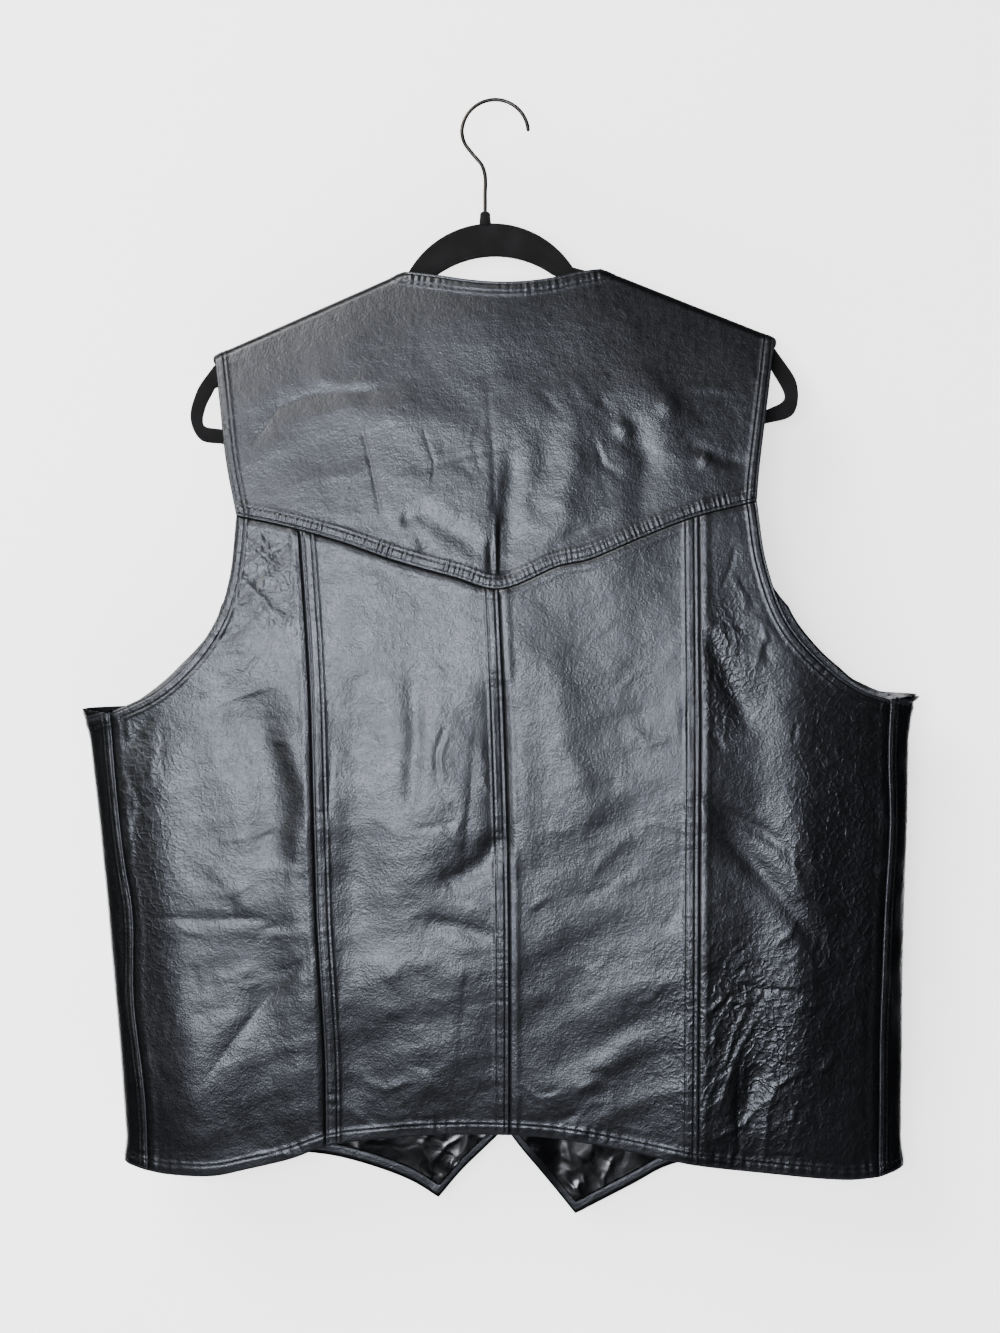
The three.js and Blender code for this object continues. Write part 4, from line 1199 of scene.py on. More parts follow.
@dataclass(frozen=True)
class Enamel(Finish):
    """Brass snap caps baked with black enamel: smooth and glossy, dulled a little by handling."""

    name: str = "black_enamelled_brass"
    colour: str = "#0b0b0d"
    scuffed: str = "#1a1a1d"
    scuff: float = 2.5

    def shade(self, tree: NodeTree, place: NodeSocket) -> Node:
        """Adds the finish's nodes and returns its shader."""
        scuffs = add_node(tree, "ShaderNodeTexNoise", {
            "Vector": place, "Scale": per_mm(self.scuff), "Detail": 4.0,
        }).outputs["Fac"]
        return add_node(tree, "ShaderNodeBsdfPrincipled", {
            "Base Color": add_node(tree, "ShaderNodeMixRGB", {
                "Fac": scuffs, "Color1": linear(self.colour), "Color2": linear(self.scuffed),
            }).outputs["Color"],
            "Roughness": add_node(tree, "ShaderNodeMapRange", {
                "Value": scuffs, "From Min": 0.35, "From Max": 0.7, "To Min": 0.14, "To Max": 0.34,
            }, clamp=True).outputs["Result"], "IOR": 1.55, "Coat Weight": 0.5,
            "Coat Roughness": 0.1,
        })


@dataclass(frozen=True)
class Thread(Finish):
    """Bonded black polyester thread, three-ply: matt, with a faint twist."""

    name: str = "black_polyester_thread"
    colour: str = "#0d0e10"
    worn: str = "#1b1c20"
    twist: float = 0.8

    def shade(self, tree: NodeTree, place: NodeSocket) -> Node:
        """Adds the finish's nodes and returns its shader."""
        plies = add_node(tree, "ShaderNodeTexNoise", {
            "Vector": place, "Scale": per_mm(self.twist), "Detail": 1.0,
        }).outputs["Fac"]
        normal = add_node(tree, "ShaderNodeBump", {
            "Strength": 0.4, "Distance": 0.0002, "Height": plies,
        }).outputs["Normal"]
        return add_node(tree, "ShaderNodeBsdfPrincipled", {
            "Base Color": add_node(tree, "ShaderNodeMixRGB", {
                "Fac": plies, "Color1": linear(self.colour), "Color2": linear(self.worn),
            }).outputs["Color"],
            "Roughness": add_node(tree, "ShaderNodeMapRange", {
                "Value": plies, "From Min": 0.3, "From Max": 0.7, "To Min": 0.5, "To Max": 0.65,
            }, clamp=True).outputs["Result"], "Normal": normal,
        })


# Leather pieces

EDGE_CELL = 0.8
EDGE_BAND = 13.0


@dataclass(frozen=True)
class CrackledSpot:
    """A spot of the back where folding has crackled the top coat, fading over its reach."""

    x: float
    z: float
    reach_x: float
    reach_z: float
    amount: float


CRACKLED_BACK = (
    CrackledSpot(190, -690, 60, 80, 0.75), CrackledSpot(-166, -352, 26, 36, 0.3),
    CrackledSpot(168, -420, 20, 55, 0.6), CrackledSpot(-255, -560, 26, 120, 0.35),
    CrackledSpot(250, -560, 40, 150, 0.5),
)
CRACKLED_FRONT = 0.2  # all over


@dataclass
class LeatherPiece:
    """One cut piece of leather, laid on the form."""

    name: str
    node: str
    edges: tuple[Line, Line, Line, Line]  # bottom, top, left, right
    acrosses: Array
    ups: Array
    finishes: list[Edge]
    flat: tuple[float, float]
    area: float
    rests_on: tuple[str, ...]
    step: int = 3
    turned: float = 0.0  # how far the free edges' turning shows inside

    def on_face(self, places: Array) -> tuple[Array, Array, Array, Array]:
        """Takes places of the cut to the form.

        Args:
            places: The places, one a row.

        Returns:
            Their place across, height, face and how far the whole piece is lowered there.
        """
        x, z = places.T
        return x, z, np.full(len(x), -1), np.zeros(len(x))

    def crease_heights(self, places: Array, small: bool) -> Array:
        """Returns the height of the creases at places of the cut, one a row.

        Args:
            places: The places.
            small: True for the small creases, and False for the large folds.

        Returns:
            The heights.
        """
        x, z, face, _ = self.on_face(places)
        heights = np.zeros(len(x))
        for side, creases in ((-1, BACK_FIELD), (1, FRONT_FIELD)):
            here = face == side
            if here.any():
                measure = creases.small if small else creases.large
                heights[here] = measure(np.stack([x[here], z[here]], -1))
        return heights

    def outer_face(self, places: Array) -> tuple[Array, Array]:
        """Works out the outer face.

        Args:
            places: Places of the cut, one a row.

        Returns:
            The points in mm, and how much lighter the leather is painted there: partly rubbed wear, partly
            painted highlight, along fold edges, seam welts and crease tops.
        """
        x, z, face, low = self.on_face(places)
        lift = np.zeros(len(x))
        wear = np.zeros(len(x))
        calm = np.ones(len(x))
        for edge in self.finishes:
            near, away, along = edge.measure(places)
            raised = edge.lift(away, along)
            lift[near] += raised
            calm[near] *= smoothstep(-3, 9, away)
            if edge.kind is not EdgeKind.TUCKED:
                # painted lighter at the fold edge and on raised welts: partly rubbed wear, partly painted
                # highlight
                rub = np.exp(-(((away - 1.0) / 0.8) ** 2)) + 0.5 * np.clip(raised - 0.45, 0, 0.4)
                wear[near] = np.maximum(wear[near], 0.55 * rub)
        small = self.crease_heights(places, True)
        crease = self.crease_heights(places, False) + small * calm
        # the tops of small creases are painted lighter too, as a painted highlight
        wear = np.clip(wear + 0.25 * np.clip(small - 0.25, 0, 0.8), 0, 1)
        return FORM.point(x, z, face, lift - low, crease), wear

    def inner_face(self, places: Array) -> tuple[Array, Array]:
        """Works out the inner face.

        Args:
            places: Places of the cut, one a row.

        Returns:
            The points in mm, and how much of the flesh side shows there, from 0 to 1.
        """
        x, z, face, low = self.on_face(places)
        lift = np.full(len(x), -LEATHER_WALL)
        flesh = np.ones(len(x))
        for edge in self.finishes:
            near, away, along = edge.measure(places)
            roll = rolled(away)
            lift[near] += 0.8 * roll
            if self.turned and edge.kind is EdgeKind.TURNED:
                under = 1 - smoothstep(self.turned - 0.8, self.turned + 0.2, away)
                lift[near] -= under * (0.35 + 0.12 * edge.ripple(along * 0.6)) * (1 - roll)
                flesh[near] = np.minimum(flesh[near], 1 - under)
        return FORM.point(x, z, face, lift - low, self.crease_heights(places, False)), flesh

    def crackled(self, places: Array) -> Array:
        """Returns how crackled the finish is at places of the cut, one a row."""
        x, z, face, _ = self.on_face(places)
        strength = np.zeros(len(x))
        for spot in CRACKLED_BACK:
            away = np.hypot((x - spot.x) / spot.reach_x, (z - spot.z) / spot.reach_z)
            strength = np.maximum(strength, spot.amount * np.exp(-(away**2)))
        return np.where(face < 0, strength, CRACKLED_FRONT)

    def build(self, material: Material) -> Object:
        """Args:
            material: The leather.

        Returns:
            The object.
        """
        grid = patch(*self.edges, self.acrosses, self.ups)
        shape = grid.shape[:2]
        coarse = grid[::self.step, ::self.step]
        outer, wear = self.outer_face(grid.reshape(-1, 2))
        inner, flesh = self.inner_face(coarse.reshape(-1, 2))
        nothing = np.zeros(coarse.shape[0] * coarse.shape[1])
        made = shell_object(
            self.name, outer.reshape(*shape, 3), inner.reshape(*coarse.shape[:2], 3), self.step,
            {
                "wear": (wear, nothing),
                "inside": (np.zeros(len(wear)), flesh),
                "crackled": (self.crackled(grid.reshape(-1, 2)), nothing),
            },
            material,
        )
        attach(made, BODY)
        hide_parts(self.node)
        list(self.rests_on)
        LOG.info("%s: %d faces", self.name, len(made.data.polygons))
        return made

    def stitch_runs(self) -> list[Array]:
        """Returns the points, in mm, of each run of topstitching on the outer face."""
        share = np.linspace(0, 1, 400)
        bottom, top, left, right = (edge(share) for edge in self.edges)
        outline = np.vstack([bottom, right, top[::-1], left[::-1]])
        runs = []
        for edge in self.finishes:
            others = [other for other in self.finishes if other is not edge]
            for row in edge.rows:
                for places in edge.row_points(row, outline, others):
                    runs.append(self.outer_face(places)[0])
        return runs


@dataclass
class FrontPiece(LeatherPiece):
    """A front, whose cut is laid out in distance round the side and height."""

    side: int = -1
    lap: tuple[float, float, float, float] = (50, 24, -320, -385)  # where the right front dips under the left
    lap_drop: float = 4.3

    def on_face(self, places: Array) -> tuple[Array, Array, Array, Array]:
        """Takes places of the cut to the form, as for any piece."""
        distance, z = places.T
        x = FORM.x_from_round(self.side, distance, z)
        start, end, top, foot = self.lap
        inward = smoothstep(0, start - end, start - x)
        downward = smoothstep(0, top - foot, top - z)
        low = self.lap_drop * inward * downward if self.side > 0 else np.zeros(len(x))
        return x, z, np.where(distance < 0, -1, 1), low


class Side(Enum):
    """A side of the vest as the camera sees it: the photo's left is the wearer's left."""

    LEFT = -1
    RIGHT = 1


@dataclass(frozen=True)
class FrontCut:
    """One front: its lines seen square on, and the size and area of its cut in metres."""

    seam: tuple[Place, ...]
    hem: tuple[Place, ...]
    cutaway: tuple[Place, ...]
    neck: tuple[Place, ...]
    arm: tuple[Place, ...]
    shoulder: Shoulder
    underarm: float  # height at which the armhole crosses the fold of the side
    flat: tuple[float, float]
    area: float


FRONT_CUTS = {
    Side.LEFT: FrontCut(
        SIDE_LEFT, HEM_LEFT, CUTAWAY_LEFT, NECK_LEFT, ARM_FRONT_LEFT, FORM.left,
        -453.6, (0.365, 0.6845), 0.1580,
    ),
    Side.RIGHT: FrontCut(
        SIDE_RIGHT, HEM_RIGHT, CUTAWAY_RIGHT, NECK_RIGHT, ARM_FRONT_RIGHT, FORM.right,
        -441.6, (0.360, 0.6995), 0.1606,
    ),
}
HEM_SHARE = 0.76  # of a front's lower edge is hem, and the rest is the cutaway
FRONT_SEAM_SHARE = 0.5  # of a front's outer edge, from the hem up, is side seam
FRONT_UNDERARM_SHARE = 0.62  # and up to here it runs on round the fold, to where the armhole starts
FREE_UNDERARM_SHARE = 0.2  # of the armhole's free edge lies round the fold
FOLD_RISE = 1.5  # how far the hem rises in mm as it turns round the side


@dataclass
class VestShell:
    """All the leather of the vest."""

    yoke_rows: tuple[float, float] = (1.9, 8.2)
    princess_left_rows: tuple[float, float] = (2.4, 8.6)
    centre_rows: tuple[float, float] = (2.7, 8.8)
    princess_right_rows: tuple[float, float] = (3.2, 9.4)
    side_rows: tuple[float, float] = (2.3, 7.4)
    arm_rows: tuple[float, float] = (1.8, 6.9)
    neck_rows: tuple[float, float] = (1.9, 8.0)
    hem_rows: tuple[float, ...] = (7.6,)
    front_rows: tuple[float, float] = (1.9, 7.2)
    pieces: list[LeatherPiece] = field(default_factory=list)

    def shoulder_line(self, shoulder: Shoulder) -> Line:
        """Returns the seam over a shoulder, from tip to neck."""

        def at(share: Array) -> Array:
            """Returns the places at shares of the line."""
            x = shoulder.tip_x + (shoulder.neck_x - shoulder.tip_x) * np.asarray(share, float)
            return np.stack([x, FORM.shoulder_height(x) - SHOULDER_DROP], -1)

        return at

    def lay_out_yoke(self) -> None:
        """Adds the yoke."""
        seam = curve_through(YOKE_SEAM)
        breaks = [share_at_x(seam, line[0][0]) for line in (PRINCESS_LEFT, CENTRE_BACK, PRINCESS_RIGHT)]
        neck_from, neck_to = (breaks[0] + breaks[1]) / 2, (breaks[1] + breaks[2]) / 2
        neck = curve_through(BACK_NECK)

        def crowded(share: Array) -> Array:
            """Returns the neck line with its points closer together near both ends."""
            return neck(share - 0.8 * np.sin(math.tau * share) / math.tau)

        shoulders = self.shoulder_line(FORM.left), stretch(self.shoulder_line(FORM.right), 1, 0)
        top = chained((shoulders[0], neck_from), (crowded, neck_to), (shoulders[1], 1))
        bottom = moved(seam, 0, HALF_GAP)
        ends = np.array([0.0, 1.0])
        arms = [
            ending_at(stretch(curve_through(line[:ARM_AT_YOKE + 1]), 1, 0), bottom(ends)[i], top(ends)[i])
            for i, line in enumerate((ARM_BACK_LEFT, ARM_BACK_RIGHT))
        ]
        arm_zone = Zone(10, EDGE_CELL, EDGE_CELL)
        finishes = [
            Edge(bottom, EdgeKind.LAPPED, self.yoke_rows, 0.3, 3.4, 5),
            Edge(arms[0], EdgeKind.TURNED, self.arm_rows, 0.12, 6, 6),
            Edge(arms[1], EdgeKind.TURNED, self.arm_rows, 0.12, 6, 7),
            Edge(neck, EdgeKind.TURNED, self.neck_rows, 0.22, 5, 8),
            Edge(self.shoulder_line(FORM.left), EdgeKind.JOINED),
            Edge(self.shoulder_line(FORM.right), EdgeKind.JOINED),
        ]
        self.pieces.append(LeatherPiece(
            "leather_yoke", "yoke", (bottom, top, arms[0], arms[1]),
            graded((
                (neck_from, (arm_zone, Zone(125, 1.0, 1.0))),
                (neck_to, (Zone(146, 1.0, 1.0),)),
                (1.0, (Zone(125, 1.0, 1.0), arm_zone)),
            ), 3),
            graded((
                (1.0, (Zone(13, 0.7, 0.9), Zone(130, 2.0, 2.0), Zone(30, 1.8, 0.9), Zone(8, 0.9, 0.1))),
            ), 3),
            finishes, (0.411, 0.236), 0.0738, ("hanger",),
        ))

    def panel_edges(self, left: Line, right: Line) -> tuple[Line, Line, Line, Line]:
        """Bounds a panel under the yoke seam and above the hem.

        Args:
            left: The left edge, from hem to yoke.
            right: The right edge, from hem to yoke.

        Returns:
            The bottom, top, left and right edges, with their ends meeting.
        """
        seam = moved(curve_through(YOKE_SEAM), 0, -HALF_GAP)
        hem = curve_through(BACK_HEM)
        low, high = np.array(0.0), np.array(1.0)
        top = stretch(seam, share_at_x(seam, left(high)[0]), share_at_x(seam, right(high)[0]))
        bottom = stretch(hem, share_at_x(hem, left(low)[0]), share_at_x(hem, right(low)[0]))
        return (
            bottom, top, ending_at(left, bottom(low), top(low)), ending_at(right, bottom(high), top(high)),
        )

    def lay_out_panels(self) -> None:
        """Adds the four panels under the yoke."""
        centre = stretch(curve_through(CENTRE_BACK), 1, 0)
        princess = [stretch(curve_through(line), 1, 0) for line in (PRINCESS_LEFT, PRINCESS_RIGHT)]
        arms = [stretch(curve_through(line[ARM_AT_YOKE:]), 1, 0) for line in (ARM_BACK_LEFT, ARM_BACK_RIGHT)]
        seams = [stretch(curve_through(line), 1, 0) for line in (SIDE_LEFT, SIDE_RIGHT)]
        outer = [chained((seam, UNDERARM_SHARE), (arm, 1)) for seam, arm in zip(seams, arms)]
        edge = Zone(EDGE_BAND, EDGE_CELL, EDGE_CELL)
        centre_columns = graded(((1.0, (edge, Zone(122, 1.7, 1.7), edge)),), 3)
        rows = graded(((UNDERARM_SHARE, (Zone(11, 0.8, 1.0), Zone(275, 1.7, 1.7))),
                       (1.0, (Zone(150, 1.7, 1.7), Zone(10, 1.2, 0.8)))), 3)
        hem = Edge(curve_through(BACK_HEM), EdgeKind.TURNED, self.hem_rows, 0.22, 6, 9)
        yoke = Edge(moved(curve_through(YOKE_SEAM), 0, -HALF_GAP), EdgeKind.TUCKED)

        edges = self.panel_edges(moved(princess[0], HALF_GAP, 0), moved(centre, -HALF_GAP, 0))
        self.pieces.append(LeatherPiece(
            "leather_back_centre_left", "back_centre_left", edges, centre_columns, rows,
            [hem, yoke, Edge(edges[2], EdgeKind.LAPPED, self.princess_left_rows, 0.12, 6, 10),
             Edge(edges[3], EdgeKind.LAPPED, self.centre_rows, 0.12, 6, 11)],
            (0.152, 0.4475), 0.0580, ("leather_yoke",),
        ))
        edges = self.panel_edges(moved(centre, HALF_GAP, 0), moved(princess[1], -HALF_GAP, 0))
        self.pieces.append(LeatherPiece(
            "leather_back_centre_right", "back_centre_right", edges, centre_columns, rows,
            [hem, yoke, Edge(edges[2], EdgeKind.TUCKED),
             Edge(edges[3], EdgeKind.LAPPED, self.princess_right_rows, 0.12, 6, 12)],
            (0.146, 0.472), 0.0603, ("leather_yoke",),
        ))
        edges = self.panel_edges(moved(outer[0], HALF_GAP, 0), moved(princess[0], -HALF_GAP, 0))
        self.pieces.append(LeatherPiece(
            "leather_back_side_left", "back_side_left", edges,
            graded(((1.0, (edge, Zone(104, 1.7, 1.7), edge)),), 3), rows,
            [hem, yoke, Edge(seams[0], EdgeKind.TUCKED), Edge(edges[3], EdgeKind.TUCKED),
             Edge(arms[0], EdgeKind.TURNED, self.arm_rows, 0.14, 6, 13)],
            (0.1575, 0.480), 0.0558, ("leather_yoke",),
        ))
        edges = self.panel_edges(moved(princess[1], HALF_GAP, 0), moved(outer[1], -HALF_GAP, 0))
        fine_rows = graded(((UNDERARM_SHARE, (Zone(11, 0.8, 1.0), Zone(190, 1.25, 1.25), Zone(90, 1.7, 1.7))),
                            (1.0, (Zone(150, 1.7, 1.7), Zone(10, 1.2, 0.8)))), 3)
        self.pieces.append(LeatherPiece(
            "leather_back_side_right", "back_side_right", edges,
            graded(((1.0, (edge, Zone(70, 1.2, 1.2), Zone(36, 1.4, 1.7), edge)),), 3), fine_rows,
            [hem, yoke, Edge(seams[1], EdgeKind.TUCKED), Edge(edges[2], EdgeKind.TUCKED),
             Edge(arms[1], EdgeKind.TURNED, self.arm_rows, 0.14, 6, 14)],
            (0.1415, 0.494), 0.0566, ("leather_yoke",),
        ))

    def lay_out_front(self, side: Side) -> None:
        """Adds one front."""
        sign, cut = side.value, FRONT_CUTS[side]
        cutaway = curve_through(cut.cutaway)
        neck = stretch(curve_through(cut.neck), 1, 0)
        shoulder = self.shoulder_line(cut.shoulder)
        gap = sign * HALF_GAP

        def laid(line: Line, face: int) -> Line:
            """Returns a line seen square on, laid out round the side."""

            def at(share: Array) -> Array:
                """Returns the places at shares of the line."""
                x, z = np.moveaxis(line(share), -1, 0)
                return np.stack([FORM.round_from_x(sign, x, z, np.full_like(x, face)), z], -1)

            return at

        def laid_place(place: Place, face: int) -> tuple[float, float]:
            """Returns one place laid out round the side."""
            x, z = np.array(place[0], float), np.array(place[1], float)
            return float(FORM.round_from_x(sign, x, z, np.array(face))), float(z)

        seam = laid(moved(stretch(curve_through(cut.seam), 1, 0), gap, 0), -1)
        seam_top, seam_foot = (laid_place((x + gap, z), -1) for x, z in (cut.seam[0], cut.seam[-1]))
        arm = [laid_place(place, 1) for place in cut.arm][::-1]
        arm[-1] = laid_place(tuple(shoulder(np.array(0.0))), 1)
        under = curve_through((seam_top, (0, cut.underarm), arm[0]))
        armhole = curve_through(tuple(arm))
        outside = chained((seam, FRONT_SEAM_SHARE), (under, FRONT_UNDERARM_SHARE), (armhole, 1))
        foot = (0, (cut.seam[-1][1] + cut.hem[0][1]) / 2 + FOLD_RISE)
        hem = curve_through((seam_foot, foot, *(laid_place(place, 1) for place in cut.hem)))
        bottom = chained((hem, HEM_SHARE), (laid(cutaway, 1), 1))
        top = laid(shoulder, 1)
        high = np.array(1.0)
        front = ending_at(laid(neck, 1), bottom(high), top(high))

        free = chained((under, FREE_UNDERARM_SHARE), (armhole, 1))
        edge = Zone(10, EDGE_CELL, EDGE_CELL)
        columns = graded((
            (HEM_SHARE, (Zone(12, 0.9, 0.9), Zone(70, 1.5, 1.5), Zone(235, 3.0, 2.4), Zone(14, 1.4, 1.2))),
            (1.0, (Zone(52, 2.4, 2.0), edge)),
        ), 2)
        rows = graded((
            (FRONT_SEAM_SHARE, (
                Zone(11, 0.8, 1.0), Zone(60, 1.6, 2.2), Zone(240, 2.6, 2.6), Zone(14, 1.4, 1.0),
            )),
            (FRONT_UNDERARM_SHARE, (Zone(30, 1.4, 2.0),)),
            (1.0, (Zone(270, 2.8, 2.6), Zone(14, 1.4, 0.9), Zone(8, 0.9, 0.1))),
        ), 2)
        self.pieces.append(FrontPiece(
            f"leather_front_{side.name.lower()}", f"front_{side.name.lower()}", (bottom, top, outside, front),
            columns, rows,
            [Edge(seam, EdgeKind.LAPPED, self.side_rows, 0.16, 7, 20 + sign),
             Edge(free, EdgeKind.TURNED, self.arm_rows, 0.14, 6, 24 + sign),
             Edge(hem, EdgeKind.TURNED, self.front_rows, 0.16, 6, 28 + sign),
             Edge(laid(cutaway, 1), EdgeKind.TURNED, self.front_rows, 0.16, 6, 32 + sign),
             Edge(front, EdgeKind.TURNED, self.front_rows, 0.14, 7, 36 + sign),
             Edge(top, EdgeKind.JOINED)],
            cut.flat, cut.area, ("hanger",),
            step=2, turned=8.0, side=sign,
        ))

    def build(self, material: Material) -> None:
        """Lays out and builds every leather piece."""
        self.lay_out_yoke()
        self.lay_out_panels()
        self.lay_out_front(Side.LEFT)
        self.lay_out_front(Side.RIGHT)
        for piece in self.pieces:
            piece.build(material)


# Linings


@dataclass
class Lining:
    """The satin inside one front, which shows at its point."""

    front: FrontPiece
    node: str
    flat: tuple[float, float]
    area: float
    gap: float = 0.7
    wall: float = 0.5
    hem_turn: float = 9.0
    front_turn: float = 8.0
    first: float = 0.305  # share across at which it starts, past the fold of the side
    top: float = 0.87  # share up at which it ends, clear of the hanger's arms
    step: int = 2
    crinkle_count: int = 150
    seed: int = 300

    def places(self) -> Array:
        """Returns the lining's places on the front's cut, by row and column."""
        across = graded((
            (0.68, (Zone(200, 3.6, 1.8), Zone(40, 1.5, 1.3))), (1.0, (Zone(60, 1.3, 1.6),)),
        ), self.step)
        up = graded(((1.0, (Zone(60, 1.3, 1.3), Zone(60, 1.6, 3.4), Zone(430, 4.2, 4.6))),), self.step)
        edges = self.front.edges
        columns = self.first + (1 - self.first) * across
        probe = 0.01
        grid = patch(*edges, columns, np.array([0.0, probe]))
        low = self.hem_turn * probe / np.hypot(*np.moveaxis(grid[1] - grid[0], -1, 0))
        rows = low[None, :] + (self.top - low[None, :]) * up[:, None]
        side = patch(*edges, np.array([1 - probe, 1.0]), up * self.top)
        inset = self.front_turn * probe / np.hypot(*np.moveaxis(side[:, 1] - side[:, 0], -1, 0))
        columns = self.first + (1 - inset[:, None] - self.first) * across[None, :]
        return looked_up(patch(*edges, np.linspace(0, 1, 500), np.linspace(0, 1, 600)), columns, rows)

    def crinkles(self, places: Array) -> Array:
        """Returns how far the satin bulges inwards at places, one a row."""
        random = np.random.default_rng(self.seed)
        low, high = places.min(0), places.max(0)
        heights = Sway(self.seed, 0.35, 16, 60).heights(places)
        for _ in range(self.crinkle_count):
            x = random.uniform(low[0], high[0])
            z = low[1] + (high[1] - low[1]) * random.random() ** 2.2  # most of them near the hem
            centre = np.array([x, z])
            angle = random.uniform(0, math.pi)
            line = bowed(centre, angle, random.uniform(8, 26), 0.3, random)
            Crease(line, random.uniform(0.35, 1.1), random.uniform(1.6, 4.2), True).add_to(heights, places)
        return np.clip(heights, -0.4, 2.0)

    def build(self, material: Material) -> Object:
        grid = self.places()
        coarse = grid[::self.step, ::self.step]

        def layer(places: Array, depth: float) -> Array:
            """Returns one face of the satin."""
            flat = places.reshape(-1, 2)
            x, z, face, low = self.front.on_face(flat)
            inward = LEATHER_WALL + self.gap + depth + self.crinkles(flat)
            points = FORM.point(x, z, face, -inward - low, self.front.crease_heights(flat, False))
            return points.reshape(*places.shape[:2], 3)

        made = shell_object(
            f"satin_{self.node}", layer(grid, self.wall), layer(coarse, 0.0), self.step, {}, material,
        )
        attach(made, BODY)
        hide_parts(self.node)
        LOG.info("%s: %d faces", made.name, len(made.data.polygons))
        return made


# Stitches


@dataclass
class Topstitching:
    """Rows of lockstitch, one stitch after another along each run."""

    pitch: float = 3.5
    length: float = 2.7
    thickness: float = 0.62
    unevenness: float = 0.12
    seed: int = 7

    def tree(self) -> NodeTree:
        """Builds the node tree that lays a stitch at each step of the runs."""
        tree = bpy.data.node_groups.new("topstitching", "GeometryNodeTree")
        face = tree.interface
        face.new_socket("Runs", in_out="INPUT", socket_type="NodeSocketGeometry")
        for label in ("Stitch pitch", "Stitch length", "Thread thickness", "Unevenness"):
            face.new_socket(label, in_out="INPUT", socket_type="NodeSocketFloat")
        face.new_socket("Seed", in_out="INPUT", socket_type="NodeSocketInt")
        face.new_socket("Thread", in_out="INPUT", socket_type="NodeSocketMaterial")
        face.new_socket("Stitches", in_out="OUTPUT", socket_type="NodeSocketGeometry")
        given = add_node(tree, "NodeGroupInput").outputs
        curve = add_node(tree, "GeometryNodeMeshToCurve", {"Mesh": given["Runs"]})
        points = add_node(tree, "GeometryNodeCurveToPoints", {
            "Curve": curve.outputs["Curve"], "Length": given["Stitch pitch"],
        }, mode="LENGTH")
        turn = add_node(tree, "FunctionNodeAlignRotationToVector", {
            "Vector": points.outputs["Tangent"],
        }, axis="Z")
        ball = add_node(tree, "GeometryNodeMeshUVSphere", {"Segments": 6, "Rings": 4, "Radius": 0.5})
        size = add_node(tree, "ShaderNodeCombineXYZ", {
            "X": given["Thread thickness"], "Y": given["Thread thickness"], "Z": given["Stitch length"],
        })
        stitch = add_node(tree, "GeometryNodeTransform", {
            "Geometry": ball.outputs["Mesh"], "Scale": size.outputs["Vector"],
        })
        least = add_node(tree, "ShaderNodeMath", {0: 1.0, 1: given["Unevenness"]}, operation="SUBTRACT")
        most = add_node(tree, "ShaderNodeMath", {0: 1.0, 1: given["Unevenness"]}, operation="ADD")
        scale = add_node(tree, "FunctionNodeRandomValue", data_type="FLOAT")
        sockets = {socket.identifier: socket for socket in scale.inputs}
        tree.links.new(least.outputs[0], sockets["Min_001"])
        tree.links.new(most.outputs[0], sockets["Max_001"])
        tree.links.new(given["Seed"], sockets["Seed"])
        chance = next(socket for socket in scale.outputs if socket.identifier == "Value_001")
        laid = add_node(tree, "GeometryNodeInstanceOnPoints", {
            "Points": points.outputs["Points"], "Instance": stitch.outputs["Geometry"],
            "Rotation": turn.outputs["Rotation"], "Scale": chance,
        })
        real = add_node(tree, "GeometryNodeRealizeInstances", {"Geometry": laid.outputs["Instances"]})
        dressed = add_node(tree, "GeometryNodeSetMaterial", {
            "Geometry": real.outputs["Geometry"], "Material": given["Thread"],
        })
        add_node(tree, "NodeGroupOutput", {"Stitches": dressed.outputs["Geometry"]})
        return tree

    def build(self, name: str, runs: list[Array], material: Material) -> Object:
        """Sews the runs.

        Args:
            name: The object's name.
            runs: The points of each run, in mm.
            material: The thread.

        Returns:
            The stitches, as one plain mesh.
        """
        points = np.vstack(runs) * MM
        links = []
        start = 0
        for run in runs:
            links.extend((i, i + 1) for i in range(start, start + len(run) - 1))
            start += len(run)
        mesh = bpy.data.meshes.new(f"{name}_runs")
        mesh.from_pydata(points.tolist(), links, [])
        guide = bpy.data.objects.new(f"{name}_runs", mesh)
        bpy.context.scene.collection.objects.link(guide)
        sewn = guide.modifiers.new("topstitching", "NODES")
        sewn.node_group = self.tree()
        values = {
            "Stitch pitch": self.pitch * MM, "Stitch length": self.length * MM,
            "Thread thickness": self.thickness * MM, "Unevenness": self.unevenness, "Seed": self.seed,
            "Thread": material,
        }
        for item in sewn.node_group.interface.items_tree:
            if item.item_type == "SOCKET" and item.in_out == "INPUT" and item.name in values:
                sewn[item.identifier] = values[item.name]
        shown = guide.evaluated_get(bpy.context.evaluated_depsgraph_get())
        plain = bpy.data.meshes.new_from_object(shown)
        bpy.data.objects.remove(guide)
        plain.name = name
        made = finished(name, plain, material)
        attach(made, BODY)
        LOG.info("%s: %d faces", name, len(plain.polygons))
        return made


# Hard pieces


class Axis(Enum):
    """The way in which a turned piece stands."""

    DEPTH = "along Y, its top away from the camera"
    UPRIGHT = "along Z"


def ring_faces(rings: int, sides: int) -> list[tuple[int, ...]]:
    """Returns the faces between rings of points, each ring joined to the next."""
    return [
        (r * sides + i, r * sides + (i + 1) % sides, (r + 1) * sides + (i + 1) % sides, (r + 1) * sides + i)
        for r in range(rings - 1) for i in range(sides)
    ]


def face_outwards(mesh: Mesh, weld: float = 0.0) -> None:
    """Joins the points of a closed mesh that lie within weld metres, and turns its faces outwards."""
    edited = bmesh.new()
    edited.from_mesh(mesh)
    if weld:
        bmesh.ops.remove_doubles(edited, verts=edited.verts, dist=weld)
    bmesh.ops.recalc_face_normals(edited, faces=edited.faces)
    edited.to_mesh(mesh)
    edited.free()


